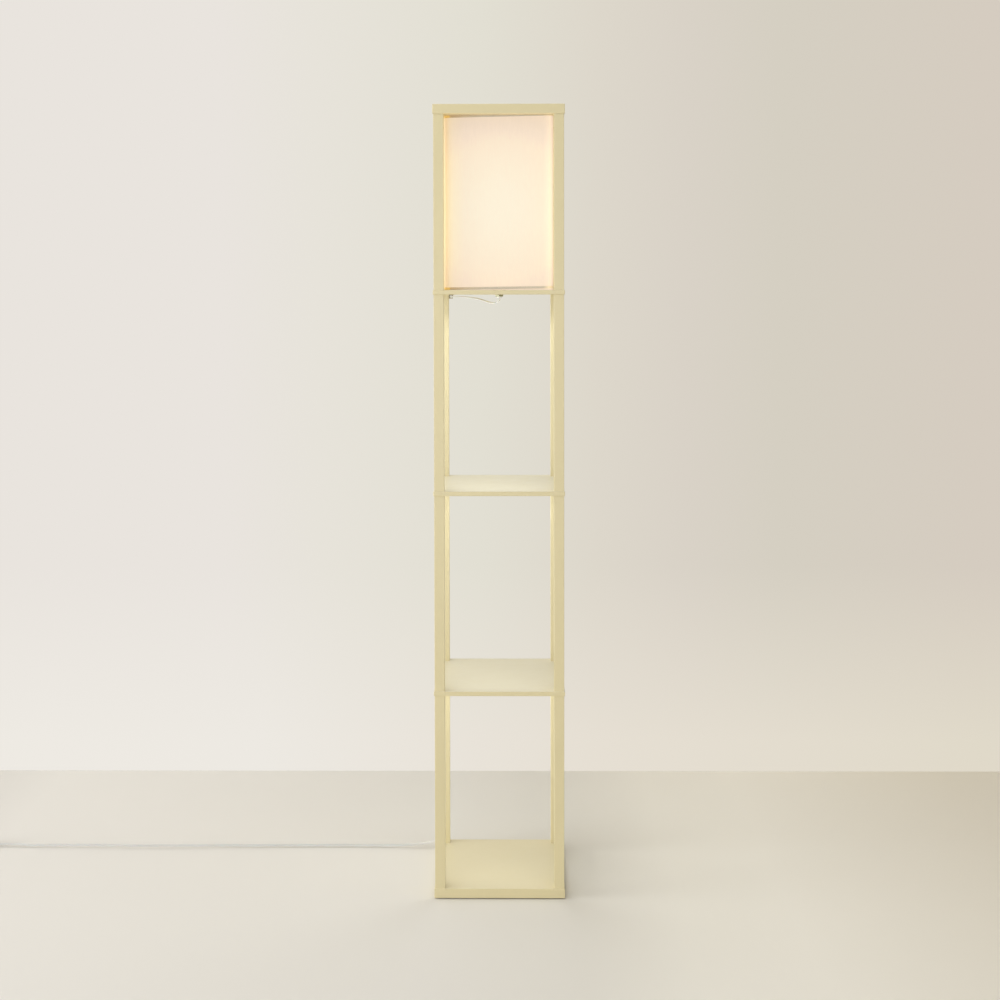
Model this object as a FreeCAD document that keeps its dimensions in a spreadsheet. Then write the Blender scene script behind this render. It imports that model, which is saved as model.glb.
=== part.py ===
"""Shelf floor lamp: four square posts per storey, three shelves, a lit box shade on top.

Millimetres. X runs left to right as seen from the front, Y towards the rear and Z up.
The origin is on the floor under the centre of the lamp.
"""
import FreeCAD
import Part
import Sketcher
import math
import os

SIZES = {
    # boards and posts
    "plan_width": 260.0, "plan_depth": 260.0, "base_thickness": 19.0, "shelf_thickness": 9.0,
    "top_thickness": 19.0, "board_ease": 1.0, "post_side": 20.0, "post_setback": 1.5,
    "post_ease": 0.8, "lower_section": 386.0, "middle_section": 389.0,
    "upper_section": 389.0, "lamp_section": 346.0,
    # foot pads
    "pad_radius": 11.0, "pad_thickness": 2.0, "pad_margin": 38.0,
    # posts' joints: threaded inserts, studs, screws and washers
    "insert_radius": 4.5, "insert_length": 13.0, "bore_tip": 1.0, "press_gap": 0.02,
    "stud_radius": 3.0, "thread_gap": 0.1, "stud_engagement": 11.0, "hole_gap": 0.25,
    "counterbore_depth": 7.0, "head_radius": 5.0, "head_height": 4.0, "head_gap": 2.5,
    "hex_key": 5.0, "hex_key_depth": 2.5, "washer_radius": 6.8, "washer_thickness": 1.2,
    # shade
    "shade_width": 216.0, "shade_depth": 216.0, "shade_height": 344.0, "shade_corner": 10.0,
    "skin_thickness": 1.0, "wire_radius": 1.25, "wire_gap": 0.1,
    "hem_inset": 0.5, "ring_margin": 1.5, "ring_thickness": 2.5, "arm_radius": 1.0,
    # stem that carries the lampholder
    "stem_radius": 5.0, "stem_bore": 3.5, "stem_gap": 0.2, "seat_washer_radius": 14.0,
    "seat_washer_thickness": 1.5, "spacer_radius": 8.0, "spacer_height": 59.5,
    "stem_top_room": 4.0, "flange_radius": 9.3, "flange_thickness": 1.0,
    "nut_flats": 16.0, "nut_thickness": 3.5, "bushing_radius": 6.0, "bushing_tip": 4.0,
    "bushing_length": 3.0,
    # lampholder
    "holder_radius": 17.5, "holder_foot_radius": 9.5, "holder_wall": 2.0,
    "cap_cone": 8.0, "cap_height": 17.0, "insulator_height": 6.0, "collar_radius": 16.0,
    "collar_bore": 14.3, "collar_height": 30.0, "collar_lip": 3.0,
    "shell_radius": 13.9, "shell_wall": 0.4, "shell_height": 25.0,
    "contact_radius": 4.0, "contact_height": 1.5,
    # bulb
    "bulb_gap": 0.3, "bulb_tip_radius": 4.5, "bulb_tip_height": 2.0, "bulb_insulator": 3.5,
    "bulb_cap_radius": 13.1, "bulb_cap_height": 21.0, "bulb_neck_radius": 13.6,
    "bulb_housing_radius": 27.0, "bulb_housing_height": 36.0, "globe_radius": 30.0,
    # cord and its clips
    "cord_width": 5.2, "cord_gap": 0.3, "riser_gap": 0.7, "clip_wall": 1.2,
    "clip_length": 8.0, "clip_foot": 3.0, "clip_ease": 1.0, "tape_thickness": 0.5,
    "top_clip_height": 1096.0, "clip_spacing": 234.0, "clip_half_run": 26.0,
    "shelf_clip_height": 5.0, "shelf_clip_x": -104.0, "shelf_clip_y": 116.0,
    "shelf_half_run_x": 0.5, "shelf_half_run_y": 12.0,
    # coil of spare cord, tied
    "coil_radius": 33.3, "coil_x": -1207.3, "coil_y": 70.0, "loop_gap": 0.8,
    "layer_gap": 0.7, "tie_thickness": 0.6, "tie_width": 7.0,
    # foot switch
    "switch_x": -1152.0, "switch_y": 136.0, "switch_length": 68.0, "switch_width": 34.0,
    "switch_corner": 13.0, "lower_shell_height": 9.0, "upper_shell_height": 11.0,
    "switch_wall": 2.0, "switch_entry": 7.0, "relief_length": 18.0, "relief_root": 6.0,
    "relief_tip": 3.4, "button_radius": 11.0, "button_proud": 5.0, "button_gap": 0.4,
    "button_rim": 1.5, "button_rim_height": 1.5, "button_travel": 3.0,
    "switch_ease": 2.5, "block_length": 34.0, "block_width": 18.0,
    # plug
    "plug_width": 25.0, "plug_thickness": 17.0, "plug_length": 26.0, "plug_relief": 20.0,
    "plug_relief_root": 6.5, "plug_lead": 30.0, "blade_length": 17.5, "blade_width": 6.35,
    "blade_thickness": 1.5, "blade_spacing": 12.7, "plug_ease": 3.0,
}

doc = FreeCAD.newDocument("ShelfFloorLamp")
sheet = doc.addObject("Spreadsheet::Sheet", "Sizes")
for row, (alias, size) in enumerate(SIZES.items(), start=1):
    sheet.set(f"A{row}", alias)
    sheet.set(f"B{row}", str(size))
    sheet.setAlias(f"B{row}", alias)
doc.recompute()

# Heights, from the floor up.
BASE_BOTTOM = "Sizes.pad_thickness"
BASE_TOP = f"({BASE_BOTTOM} + Sizes.base_thickness)"
LOWER_SHELF = f"({BASE_TOP} + Sizes.lower_section)"
LOWER_SHELF_TOP = f"({LOWER_SHELF} + Sizes.shelf_thickness)"
MIDDLE_SHELF = f"({LOWER_SHELF_TOP} + Sizes.middle_section)"
MIDDLE_SHELF_TOP = f"({MIDDLE_SHELF} + Sizes.shelf_thickness)"
LAMP_SHELF = f"({MIDDLE_SHELF_TOP} + Sizes.upper_section)"
LAMP_SHELF_TOP = f"({LAMP_SHELF} + Sizes.shelf_thickness)"
TOP_BOARD = f"({LAMP_SHELF_TOP} + Sizes.lamp_section)"

# Plan positions of the post axes.
POST_X = "(Sizes.plan_width / 2 - Sizes.post_setback - Sizes.post_side / 2)"
POST_Y = "(Sizes.plan_depth / 2 - Sizes.post_setback - Sizes.post_side / 2)"
CORNERS = {
    "front_left": (-1, -1), "front_right": (1, -1), "rear_left": (-1, 1), "rear_right": (1, 1),
}

STUD_HOLE = "(Sizes.stud_radius + Sizes.hole_gap)"
INSERT_BORE = "(Sizes.insert_radius + Sizes.press_gap)"
INSERT_BORE_DEPTH = "(Sizes.insert_length + Sizes.bore_tip)"
COUNTERBORE = "(Sizes.head_radius + Sizes.head_gap)"

# The lampholder's stem, from the shelf up.
RING_BOTTOM = f"({LAMP_SHELF_TOP} + Sizes.seat_washer_thickness)"
RING_TOP = f"({RING_BOTTOM} + Sizes.ring_thickness)"
RING_RADIUS = "(Sizes.seat_washer_radius + Sizes.ring_margin)"
HOLDER_BOTTOM = f"({RING_TOP} + Sizes.spacer_height)"
HOLDER_SPLIT = f"({HOLDER_BOTTOM} + Sizes.cap_height)"
CONTACT_TOP = f"({HOLDER_SPLIT} + Sizes.contact_height)"
BULB_BOTTOM = f"({CONTACT_TOP} + Sizes.bulb_gap)"
BULB_CAP_BOTTOM = f"({BULB_BOTTOM} + Sizes.bulb_tip_height + Sizes.bulb_insulator)"
BULB_CAP_TOP = f"({BULB_CAP_BOTTOM} + Sizes.bulb_cap_height)"
NUT_TOP = f"({LAMP_SHELF} - Sizes.flange_thickness)"
NUT_BOTTOM = f"({NUT_TOP} - Sizes.nut_thickness)"
BUSHING_BOTTOM = f"({NUT_BOTTOM} - Sizes.bushing_length)"
WIRE_LEVEL = f"({RING_BOTTOM} + Sizes.ring_thickness / 2)"
SHADE_BOTTOM = f"({WIRE_LEVEL} - Sizes.wire_radius - Sizes.hem_inset)"
SHADE_TOP = f"({SHADE_BOTTOM} + Sizes.shade_height)"

parts = []


def number(formula):
    """The value of a formula of the sheet, in millimetres."""
    result = sheet.evalExpression(formula)
    return float(getattr(result, "Value", result))


def size(alias):
    return number(f"Sizes.{alias}")


def bind(item, formulas):
    for path, formula in formulas.items():
        item.setExpression(path, str(formula))
    return item


def placed(item, x="0", y="0", z="0"):
    return bind(item, {"Placement.Base.x": x, "Placement.Base.y": y, "Placement.Base.z": z})


def keep(item, label):
    """Name a finished piece, so that it is written to its own file."""
    item.Label = label
    parts.append(item)
    return item


# ---------------------------------------------------------------- sketches and bodies


def origin_plane(body, role):
    return next(item for item in body.Origin.OriginFeatures if item.Role == role)


def new_sketch(body, name, height="0"):
    sketch = body.newObject("Sketcher::SketchObject", name)
    sketch.AttachmentSupport = [(origin_plane(body, "XY_Plane"), "")]
    sketch.MapMode = "FlatFace"
    sketch.setExpression("AttachmentOffset.Base.z", height)
    return sketch


def draw_rectangle(sketch, width, depth):
    """A rectangle centred on the sketch's origin."""
    start_x = number(width) / 2
    start_y = number(depth) / 2
    corners = [(-start_x, -start_y), (start_x, -start_y), (start_x, start_y), (-start_x, start_y)]
    for index in range(4):
        first = FreeCAD.Vector(*corners[index], 0)
        second = FreeCAD.Vector(*corners[(index + 1) % 4], 0)
        sketch.addGeometry(Part.LineSegment(first, second), False)
    for index in range(4):
        sketch.addConstraint(Sketcher.Constraint("Coincident", index, 2, (index + 1) % 4, 1))
    for index in (0, 2):
        sketch.addConstraint(Sketcher.Constraint("Horizontal", index))
    for index in (1, 3):
        sketch.addConstraint(Sketcher.Constraint("Vertical", index))
    sketch.addConstraint(Sketcher.Constraint("Symmetric", 0, 1, 2, 1, -1, 1))
    across = sketch.addConstraint(Sketcher.Constraint("DistanceX", 0, 1, 0, 2, number(width)))
    sketch.setExpression(f"Constraints[{across}]", width)
    along = sketch.addConstraint(Sketcher.Constraint("DistanceY", 1, 1, 1, 2, number(depth)))
    sketch.setExpression(f"Constraints[{along}]", depth)


def draw_circles(sketch, radius, centres):
    """Circles of one radius; each centre is (sign of x, x, sign of y, y)."""
    upwards = FreeCAD.Vector(0, 0, 1)
    for index, (sign_x, x, sign_y, y) in enumerate(centres):
        centre = FreeCAD.Vector(sign_x * number(x), sign_y * number(y), 0)
        sketch.addGeometry(Part.Circle(centre, upwards, number(radius)), False)
        bound = sketch.addConstraint(Sketcher.Constraint("Radius", index, number(radius)))
        sketch.setExpression(f"Constraints[{bound}]", radius)
        for kind, sign, distance in (("DistanceX", sign_x, x), ("DistanceY", sign_y, y)):
            ends = (-1, 1, index, 3) if sign > 0 else (index, 3, -1, 1)
            bound = sketch.addConstraint(Sketcher.Constraint(kind, *ends, number(distance)))
            sketch.setExpression(f"Constraints[{bound}]", distance)


def padded_rectangle(name, width, depth, height):
    body = doc.addObject("PartDesign::Body", name)
    sketch = new_sketch(body, f"{name}_outline")
    draw_rectangle(sketch, width, depth)
    pad = body.newObject("PartDesign::Pad", f"{name}_pad")
    pad.Profile = sketch
    pad.setExpression("Length", height)
    doc.recompute()
    return body, pad


def eased(body, base, edges, radius):
    fillet = body.newObject("PartDesign::Fillet", f"{body.Name}_eased")
    fillet.Base = (base, edges)
    fillet.setExpression("Radius", radius)
    doc.recompute()
    return fillet


def pocketed(body, name, radius, centres, height, depth, upwards):
    """Round pockets of one size, sunk from a level plane, checked to remove material."""
    before = body.Shape.Volume
    sketch = new_sketch(body, f"{body.Name}_{name}_circles", height)
    draw_circles(sketch, radius, centres)
    pocket = body.newObject("PartDesign::Pocket", f"{body.Name}_{name}")
    pocket.Profile = sketch
    pocket.Reversed = upwards
    pocket.setExpression("Length", depth)
    doc.recompute()
    if body.Shape.Volume >= before:
        raise ValueError(f"{body.Name}: {name} removes nothing")


def all_edges(shape):
    return [f"Edge{index + 1}" for index in range(len(shape.Edges))]


def upright_edges(shape):
    return [f"Edge{index + 1}" for index, edge in enumerate(shape.Edges)
            if abs(edge.tangentAt(edge.FirstParameter).z) > 0.9]


def corner_centres():
    return [(sign_x, POST_X, sign_y, POST_Y) for sign_x, sign_y in CORNERS.values()]


# ---------------------------------------------------------------- solids from primitives


def cylinder(name, radius, height, x="0", y="0", z="0"):
    item = doc.addObject("Part::Cylinder", name)
    bind(item, {"Radius": radius, "Height": height})
    return placed(item, x, y, z)


def cone(name, bottom, top, height, x="0", y="0", z="0"):
    item = doc.addObject("Part::Cone", name)
    bind(item, {"Radius1": bottom, "Radius2": top, "Height": height})
    return placed(item, x, y, z)


def hexagon(name, flats, height, x="0", y="0", z="0"):
    item = doc.addObject("Part::Prism", name)
    item.Polygon = 6
    bind(item, {"Circumradius": f"{flats} / sqrt(3)", "Height": height})
    return placed(item, x, y, z)


def cut(name, base, *tools):
    for index, tool in enumerate(tools):
        item = doc.addObject("Part::Cut", f"{name}_cut_{index}")
        item.Base = base
        item.Tool = tool
        base = item
    return base


def fuse(name, *items):
    item = doc.addObject("Part::MultiFuse", name)
    item.Shapes = list(items)
    return item


def tube(name, outer, inner, height, z):
    """An upright tube or ring on the lamp's own axis, open at both ends."""
    return cut(name, cylinder(f"{name}_outer", outer, height, z=z),
               cylinder(f"{name}_bore", inner, height, z=z))


def group(label, items):
    """Identical pieces that share one file, each still a solid of its own."""
    item = doc.addObject("Part::Compound", label)
    item.Links = items
    return keep(item, label)


def shaped(label, shape):
    item = doc.addObject("Part::Feature", label)
    item.Shape = shape
    return keep(item, label)


# ---------------------------------------------------------------- boards and posts


def board(label, thickness, level):
    body, pad = padded_rectangle(label, "Sizes.plan_width", "Sizes.plan_depth", thickness)
    eased(body, pad, all_edges(pad.Shape), "Sizes.board_ease")
    placed(body, z=level)
    return keep(body, label)


def make_boards():
    base = board("base_board", "Sizes.base_thickness", BASE_BOTTOM)
    pocketed(base, "screw_holes", STUD_HOLE, corner_centres(), "0",
             "Sizes.base_thickness", True)
    pocketed(base, "counterbores", COUNTERBORE, corner_centres(), "0",
             "Sizes.counterbore_depth", True)
    for label, level in (("lower_shelf", LOWER_SHELF), ("middle_shelf", MIDDLE_SHELF),
                         ("lamp_shelf", LAMP_SHELF)):
        shelf = board(label, "Sizes.shelf_thickness", level)
        pocketed(shelf, "stud_holes", STUD_HOLE, corner_centres(), "0",
                 "Sizes.shelf_thickness", True)
    pocketed(shelf, "stem_hole", "(Sizes.stem_radius + Sizes.stem_gap)", [(1, "0", 1, "0")],
             "0", "Sizes.shelf_thickness", True)
    top = board("top_board", "Sizes.top_thickness", TOP_BOARD)
    pocketed(top, "insert_bores", INSERT_BORE, corner_centres(), "0", INSERT_BORE_DEPTH, True)


def make_posts():
    storeys = {
        "lower": (BASE_TOP, "Sizes.lower_section"),
        "middle": (LOWER_SHELF_TOP, "Sizes.middle_section"),
        "upper": (MIDDLE_SHELF_TOP, "Sizes.upper_section"),
        "lamp": (LAMP_SHELF_TOP, "Sizes.lamp_section"),
    }
    for storey, (level, length) in storeys.items():
        for corner, (sign_x, sign_y) in CORNERS.items():
            label = f"{storey}_post_{corner}"
            body, pad = padded_rectangle(label, "Sizes.post_side", "Sizes.post_side", length)
            eased(body, pad, upright_edges(pad.Shape), "Sizes.post_ease")
            centre = [(1, "0", 1, "0")]
            pocketed(body, "bottom_bore", INSERT_BORE, centre, "0", INSERT_BORE_DEPTH, True)
            pocketed(body, "top_bore", INSERT_BORE, centre, length, INSERT_BORE_DEPTH, False)
            placed(body, f"{sign_x} * {POST_X}", f"{sign_y} * {POST_Y}", level)
            keep(body, label)


def at_corners(make, name, *arguments):
    """The same piece at the four post axes."""
    return [make(f"{name}_{corner}", *arguments, f"{sign_x} * {POST_X}", f"{sign_y} * {POST_Y}")
            for corner, (sign_x, sign_y) in CORNERS.items()]


def insert(name, level, x, y):
    outer = cylinder(f"{name}_outer", "Sizes.insert_radius", "Sizes.insert_length", x, y, level)
    bore = cylinder(f"{name}_bore", "(Sizes.stud_radius + Sizes.thread_gap)",
                    "Sizes.insert_length", x, y, level)
    return cut(name, outer, bore)


def stud(name, length, level, x, y):
    return cylinder(name, "Sizes.stud_radius", length, x, y, level)


def base_screw(name, x, y):
    head_top = f"({BASE_BOTTOM} + Sizes.counterbore_depth - Sizes.washer_thickness)"
    head_bottom = f"({head_top} - Sizes.head_height)"
    shank = f"({BASE_TOP} + Sizes.stud_engagement - {head_top})"
    head = cylinder(f"{name}_head", "Sizes.head_radius", "Sizes.head_height", x, y, head_bottom)
    key = hexagon(f"{name}_key", "Sizes.hex_key", "Sizes.hex_key_depth", x, y, head_bottom)
    return fuse(name, cut(f"{name}_keyed", head, key),
                cylinder(f"{name}_shank", "Sizes.stud_radius", shank, x, y, head_top))


def base_washer(name, x, y):
    level = f"({BASE_BOTTOM} + Sizes.counterbore_depth - Sizes.washer_thickness)"
    return cut(name, cylinder(f"{name}_outer", "Sizes.washer_radius",
                              "Sizes.washer_thickness", x, y, level),
               cylinder(f"{name}_hole", STUD_HOLE, "Sizes.washer_thickness", x, y, level))


def make_joinery():
    insert_levels = []
    for bottom, top in ((BASE_TOP, LOWER_SHELF), (LOWER_SHELF_TOP, MIDDLE_SHELF),
                        (MIDDLE_SHELF_TOP, LAMP_SHELF), (LAMP_SHELF_TOP, TOP_BOARD)):
        insert_levels += [bottom, f"({top} - Sizes.insert_length)"]
    insert_levels.append(TOP_BOARD)
    inserts = []
    for index, level in enumerate(insert_levels):
        inserts += at_corners(insert, f"insert_{index}", level)
    group("threaded_inserts", inserts)

    studs = []
    through = "(Sizes.shelf_thickness + 2 * Sizes.stud_engagement)"
    for index, shelf in enumerate((LOWER_SHELF, MIDDLE_SHELF, LAMP_SHELF)):
        studs += at_corners(stud, f"stud_{index}", through, f"({shelf} - Sizes.stud_engagement)")
    studs += at_corners(stud, "stud_top", "(2 * Sizes.stud_engagement)",
                        f"({TOP_BOARD} - Sizes.stud_engagement)")
    group("joint_studs", studs)
    group("base_screws", at_corners(base_screw, "base_screw"))
    group("base_washers", at_corners(base_washer, "base_washer"))

    pads = []
    for corner, (sign_x, sign_y) in CORNERS.items():
        pads.append(cylinder(f"pad_{corner}", "Sizes.pad_radius", "Sizes.pad_thickness",
                             f"{sign_x} * (Sizes.plan_width / 2 - Sizes.pad_margin)",
                             f"{sign_y} * (Sizes.plan_depth / 2 - Sizes.pad_margin)", "0"))
    group("foot_pads", pads)


# ---------------------------------------------------------------- shade


def rounded_loop(half_x, half_y, radius, level):
    """A closed wire: a level rectangle with rounded corners, centred on the lamp's axis."""
    turn = radius * (1 - math.sqrt(0.5))
    corners = [(1, 1), (-1, 1), (-1, -1), (1, -1)]
    ends = []
    for sign_x, sign_y in corners:
        along_y = FreeCAD.Vector(sign_x * half_x, sign_y * (half_y - radius), level)
        along_x = FreeCAD.Vector(sign_x * (half_x - radius), sign_y * half_y, level)
        middle = FreeCAD.Vector(sign_x * (half_x - turn), sign_y * (half_y - turn), level)
        ends.append((along_y, middle, along_x) if sign_x * sign_y > 0 else
                    (along_x, middle, along_y))
    edges = []
    for index, (first, middle, last) in enumerate(ends):
        edges.append(Part.Arc(first, middle, last).toShape())
        edges.append(Part.LineSegment(last, ends[(index + 1) % 4][0]).toShape())
    return Part.Wire(edges)


def shade_skin():
    half_x = size("shade_width") / 2
    half_y = size("shade_depth") / 2
    corner = size("shade_corner")
    wall = size("skin_thickness")
    level = number(SHADE_BOTTOM)
    rise = FreeCAD.Vector(0, 0, size("shade_height"))
    outer = Part.Face(rounded_loop(half_x, half_y, corner, level)).extrude(rise)
    inner = Part.Face(rounded_loop(half_x - wall, half_y - wall, corner - wall, level)).extrude(rise)
    return outer.cut(inner)


def rim_inset():
    return size("skin_thickness") + size("wire_gap") + size("wire_radius")


def rim_wire(level):
    """A square of bent wire with rounded corners, just inside the skin."""
    inset = rim_inset()
    half_x = size("shade_width") / 2 - inset
    half_y = size("shade_depth") / 2 - inset
    path = rounded_loop(half_x, half_y, size("shade_corner") - inset, level)
    start = path.Edges[0].Vertexes[0].Point
    section = Part.Wire(Part.Circle(start, path.Edges[0].tangentAt(path.Edges[0].FirstParameter),
                                    size("wire_radius")).toShape())
    return path.makePipeShell([section], True, False)


def fitter_frame():
    """The lower rim wire, four arms and the flat ring that the stem clamps."""
    level = number(WIRE_LEVEL)
    inset = rim_inset()
    reach_x = size("shade_width") / 2 - inset
    reach_y = size("shade_depth") / 2 - inset
    ring_inner = size("stem_radius") + size("stem_gap")
    ring_outer = number(RING_RADIUS)
    ring_middle = (ring_outer + ring_inner) / 2
    bottom = number(RING_BOTTOM)
    thickness = size("ring_thickness")
    ring = Part.makeCylinder(ring_outer, thickness, FreeCAD.Vector(0, 0, bottom))
    ring = ring.cut(Part.makeCylinder(ring_inner, thickness, FreeCAD.Vector(0, 0, bottom)))
    arms = []
    for end in (FreeCAD.Vector(reach_x, 0, level), FreeCAD.Vector(-reach_x, 0, level),
                FreeCAD.Vector(0, reach_y, level), FreeCAD.Vector(0, -reach_y, level)):
        outwards = FreeCAD.Vector(end.x, end.y, 0).normalize()
        start = outwards * ring_middle + FreeCAD.Vector(0, 0, level)
        arms.append(Part.makeCylinder(size("arm_radius"), (end - start).Length, start, outwards))
    return rim_wire(level).multiFuse([ring] + arms)


def make_shade():
    shaped("shade_skin", shade_skin())
    top_level = number(SHADE_TOP) - size("hem_inset") - size("wire_radius")
    shaped("shade_top_wire", rim_wire(top_level))
    shaped("shade_fitter", fitter_frame())


# ---------------------------------------------------------------- stem and lampholder


def make_stem():
    bore = "(Sizes.stem_radius + Sizes.stem_gap)"
    stem_top = f"({HOLDER_BOTTOM} + Sizes.holder_wall + Sizes.stem_top_room)"
    keep(tube("stem", "Sizes.stem_radius", "Sizes.stem_bore",
              f"({stem_top} - {NUT_BOTTOM})", NUT_BOTTOM), "lamp_stem")
    keep(tube("seat", "Sizes.seat_washer_radius", bore, "Sizes.seat_washer_thickness",
              LAMP_SHELF_TOP), "seat_washer")
    keep(tube("spacer", "Sizes.spacer_radius", bore, "Sizes.spacer_height", RING_TOP),
         "stem_spacer")
    keep(tube("flange", "Sizes.flange_radius", bore, "Sizes.flange_thickness", NUT_TOP),
         "under_washer")
    nut = cut("nut", hexagon("nut_body", "Sizes.nut_flats", "Sizes.nut_thickness",
                             z=NUT_BOTTOM),
              cylinder("nut_bore", bore, "Sizes.nut_thickness", z=NUT_BOTTOM))
    keep(nut, "shelf_nut")
    bushing = cut("bushing", cone("bushing_body", "Sizes.bushing_tip", "Sizes.bushing_radius",
                                  "Sizes.bushing_length", z=BUSHING_BOTTOM),
                  cylinder("bushing_bore", "(Sizes.cord_width / 2 + Sizes.cord_gap)",
                           "Sizes.bushing_length", z=BUSHING_BOTTOM))
    keep(bushing, "cord_bushing")
    lead_top = f"({HOLDER_BOTTOM} + Sizes.cap_height - Sizes.insulator_height)"
    keep(cylinder("lead", "Sizes.cord_width / 2", f"({lead_top} - {BUSHING_BOTTOM})",
                  z=BUSHING_BOTTOM), "stem_lead")


def make_lampholder():
    bore = "(Sizes.stem_radius + Sizes.stem_gap)"
    wall = "Sizes.holder_wall"
    straight = "(Sizes.cap_height - Sizes.cap_cone)"
    shoulder = f"({HOLDER_BOTTOM} + Sizes.cap_cone)"
    outside = fuse("cap_outside",
                   cone("cap_cone", "Sizes.holder_foot_radius", "Sizes.holder_radius",
                        "Sizes.cap_cone", z=HOLDER_BOTTOM),
                   cylinder("cap_wall", "Sizes.holder_radius", straight, z=shoulder))
    inside = fuse("cap_inside",
                  cone("cap_cone_inside", f"(Sizes.holder_foot_radius - {wall})",
                       f"(Sizes.holder_radius - {wall})", f"(Sizes.cap_cone - {wall})",
                       z=f"({HOLDER_BOTTOM} + {wall})"),
                  cylinder("cap_room", f"(Sizes.holder_radius - {wall})", straight, z=shoulder))
    entry = cylinder("cap_entry", bore, wall, z=HOLDER_BOTTOM)
    keep(cut("cap", outside, inside, entry), "holder_cap")

    level = f"({HOLDER_SPLIT} - Sizes.insulator_height)"
    keep(cylinder("insulator", f"(Sizes.holder_radius - {wall} - Sizes.press_gap)",
                  "Sizes.insulator_height", z=level), "holder_insulator")
    lip = tube("lip", "Sizes.holder_radius", "Sizes.collar_bore", "Sizes.collar_lip",
               HOLDER_SPLIT)
    collar = tube("collar", "Sizes.collar_radius", "Sizes.collar_bore", "Sizes.collar_height",
                  HOLDER_SPLIT)
    keep(fuse("collar_and_lip", lip, collar), "holder_collar")
    keep(tube("screw_shell", "Sizes.shell_radius", "(Sizes.shell_radius - Sizes.shell_wall)",
              "Sizes.shell_height", HOLDER_SPLIT), "holder_screw_shell")
    keep(cylinder("contact", "Sizes.contact_radius", "Sizes.contact_height", z=HOLDER_SPLIT),
         "holder_contact")


def make_bulb():
    keep(cylinder("bulb_tip", "Sizes.bulb_tip_radius", "Sizes.bulb_tip_height", z=BULB_BOTTOM),
         "bulb_contact")
    insulator_bottom = f"({BULB_BOTTOM} + Sizes.bulb_tip_height)"
    keep(cone("bulb_glass", "Sizes.bulb_tip_radius", "Sizes.bulb_cap_radius",
              "Sizes.bulb_insulator", z=insulator_bottom), "bulb_insulator")
    keep(cylinder("bulb_screw", "Sizes.bulb_cap_radius", "Sizes.bulb_cap_height",
                  z=BULB_CAP_BOTTOM), "bulb_screw_cap")
    keep(cone("bulb_neck", "Sizes.bulb_neck_radius", "Sizes.bulb_housing_radius",
              "Sizes.bulb_housing_height", z=BULB_CAP_TOP), "bulb_housing")
    rim = f"({BULB_CAP_TOP} + Sizes.bulb_housing_height)"
    globe = doc.addObject("Part::Sphere", "globe_ball")
    rise = "sqrt(Sizes.globe_radius ^ 2 - Sizes.bulb_housing_radius ^ 2)"
    bind(globe, {"Radius": "Sizes.globe_radius"})
    placed(globe, z=f"{rim} + {rise}")
    below = cylinder("globe_cut", "2 * Sizes.globe_radius", "2 * Sizes.globe_radius",
                     z=f"{rim} - 2 * Sizes.globe_radius")
    keep(cut("globe", globe, below), "bulb_globe")


# ---------------------------------------------------------------- cord


def tube_along(label, points):
    """A round tube of straight runs joined by tangent arcs, through the points' corners."""
    radius = size("cord_width") / 2
    corners = [FreeCAD.Vector(*point) for point in points]
    edges = []
    bends = []
    last = corners[0]
    for before, corner, after in zip(corners, corners[1:], corners[2:]):
        inwards = (before - corner).normalize()
        outwards = (after - corner).normalize()
        turn = math.pi - inwards.getAngle(outwards)
        shorter = min((before - corner).Length, (after - corner).Length)
        setback = 0.45 * shorter
        bend = setback / math.tan(turn / 2)
        middle_line = (inwards + outwards).normalize()
        middle = corner + middle_line * (bend / math.cos(turn / 2) - bend)
        first = corner + inwards * setback
        second = corner + outwards * setback
        edges.append(Part.LineSegment(last, first).toShape())
        edges.append(Part.Arc(first, middle, second).toShape())
        bends.append(bend)
        last = second
    edges.append(Part.LineSegment(last, corners[-1]).toShape())
    path = Part.Wire(edges)
    section = Part.Wire(Part.Circle(corners[0], corners[1] - corners[0], radius).toShape())
    solid = path.makePipeShell([section], True, False)
    expected = math.pi * radius ** 2 * path.Length
    print(f"{label}: {path.Length:.1f} long, volume {solid.Volume / expected:.4f} of section x length, "
          f"bends {', '.join(f'{bend:.0f}' for bend in bends)}")
    return shaped(label, solid), path.Length


def coil_half_turns():
    """(distance from the coil's centre, height) at each half turn: in, up one layer, out."""
    step = (size("cord_width") + size("loop_gap")) / 2
    low = size("cord_width") / 2 + size("tie_thickness") + size("cord_gap")
    high = low + size("cord_width") + size("layer_gap")
    outer = size("coil_radius")
    inwards = [(outer - step * index, low) for index in range(4)]
    outwards = [(outer - step * index, high) for index in (4, 2, 1, 0, -1)]
    return inwards + outwards


def coil_arcs():
    centre = FreeCAD.Vector(size("coil_x"), size("coil_y"), 0)
    turns = coil_half_turns()
    arcs = []
    for index in range(len(turns) - 1):
        side = -1 if index % 2 == 0 else 1
        (near, low), (far, high) = turns[index], turns[index + 1]
        start = centre + FreeCAD.Vector(side * near, 0, low)
        end = centre + FreeCAD.Vector(-side * far, 0, high)
        middle = (start + end) / 2 + FreeCAD.Vector(0, side * (start - end).Length / 2, 0)
        arcs.append(Part.Arc(start, middle, end))
    return arcs


def least_gap(arcs):
    """The least distance between surfaces of turns that don't follow each other."""
    samples = [arc.toShape().discretize(60) for arc in arcs]
    least = math.inf
    for index, first in enumerate(samples):
        for second in samples[index + 2:]:
            least = min(least, min((one - two).Length for one in first for two in second))
    return least - size("cord_width")


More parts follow.
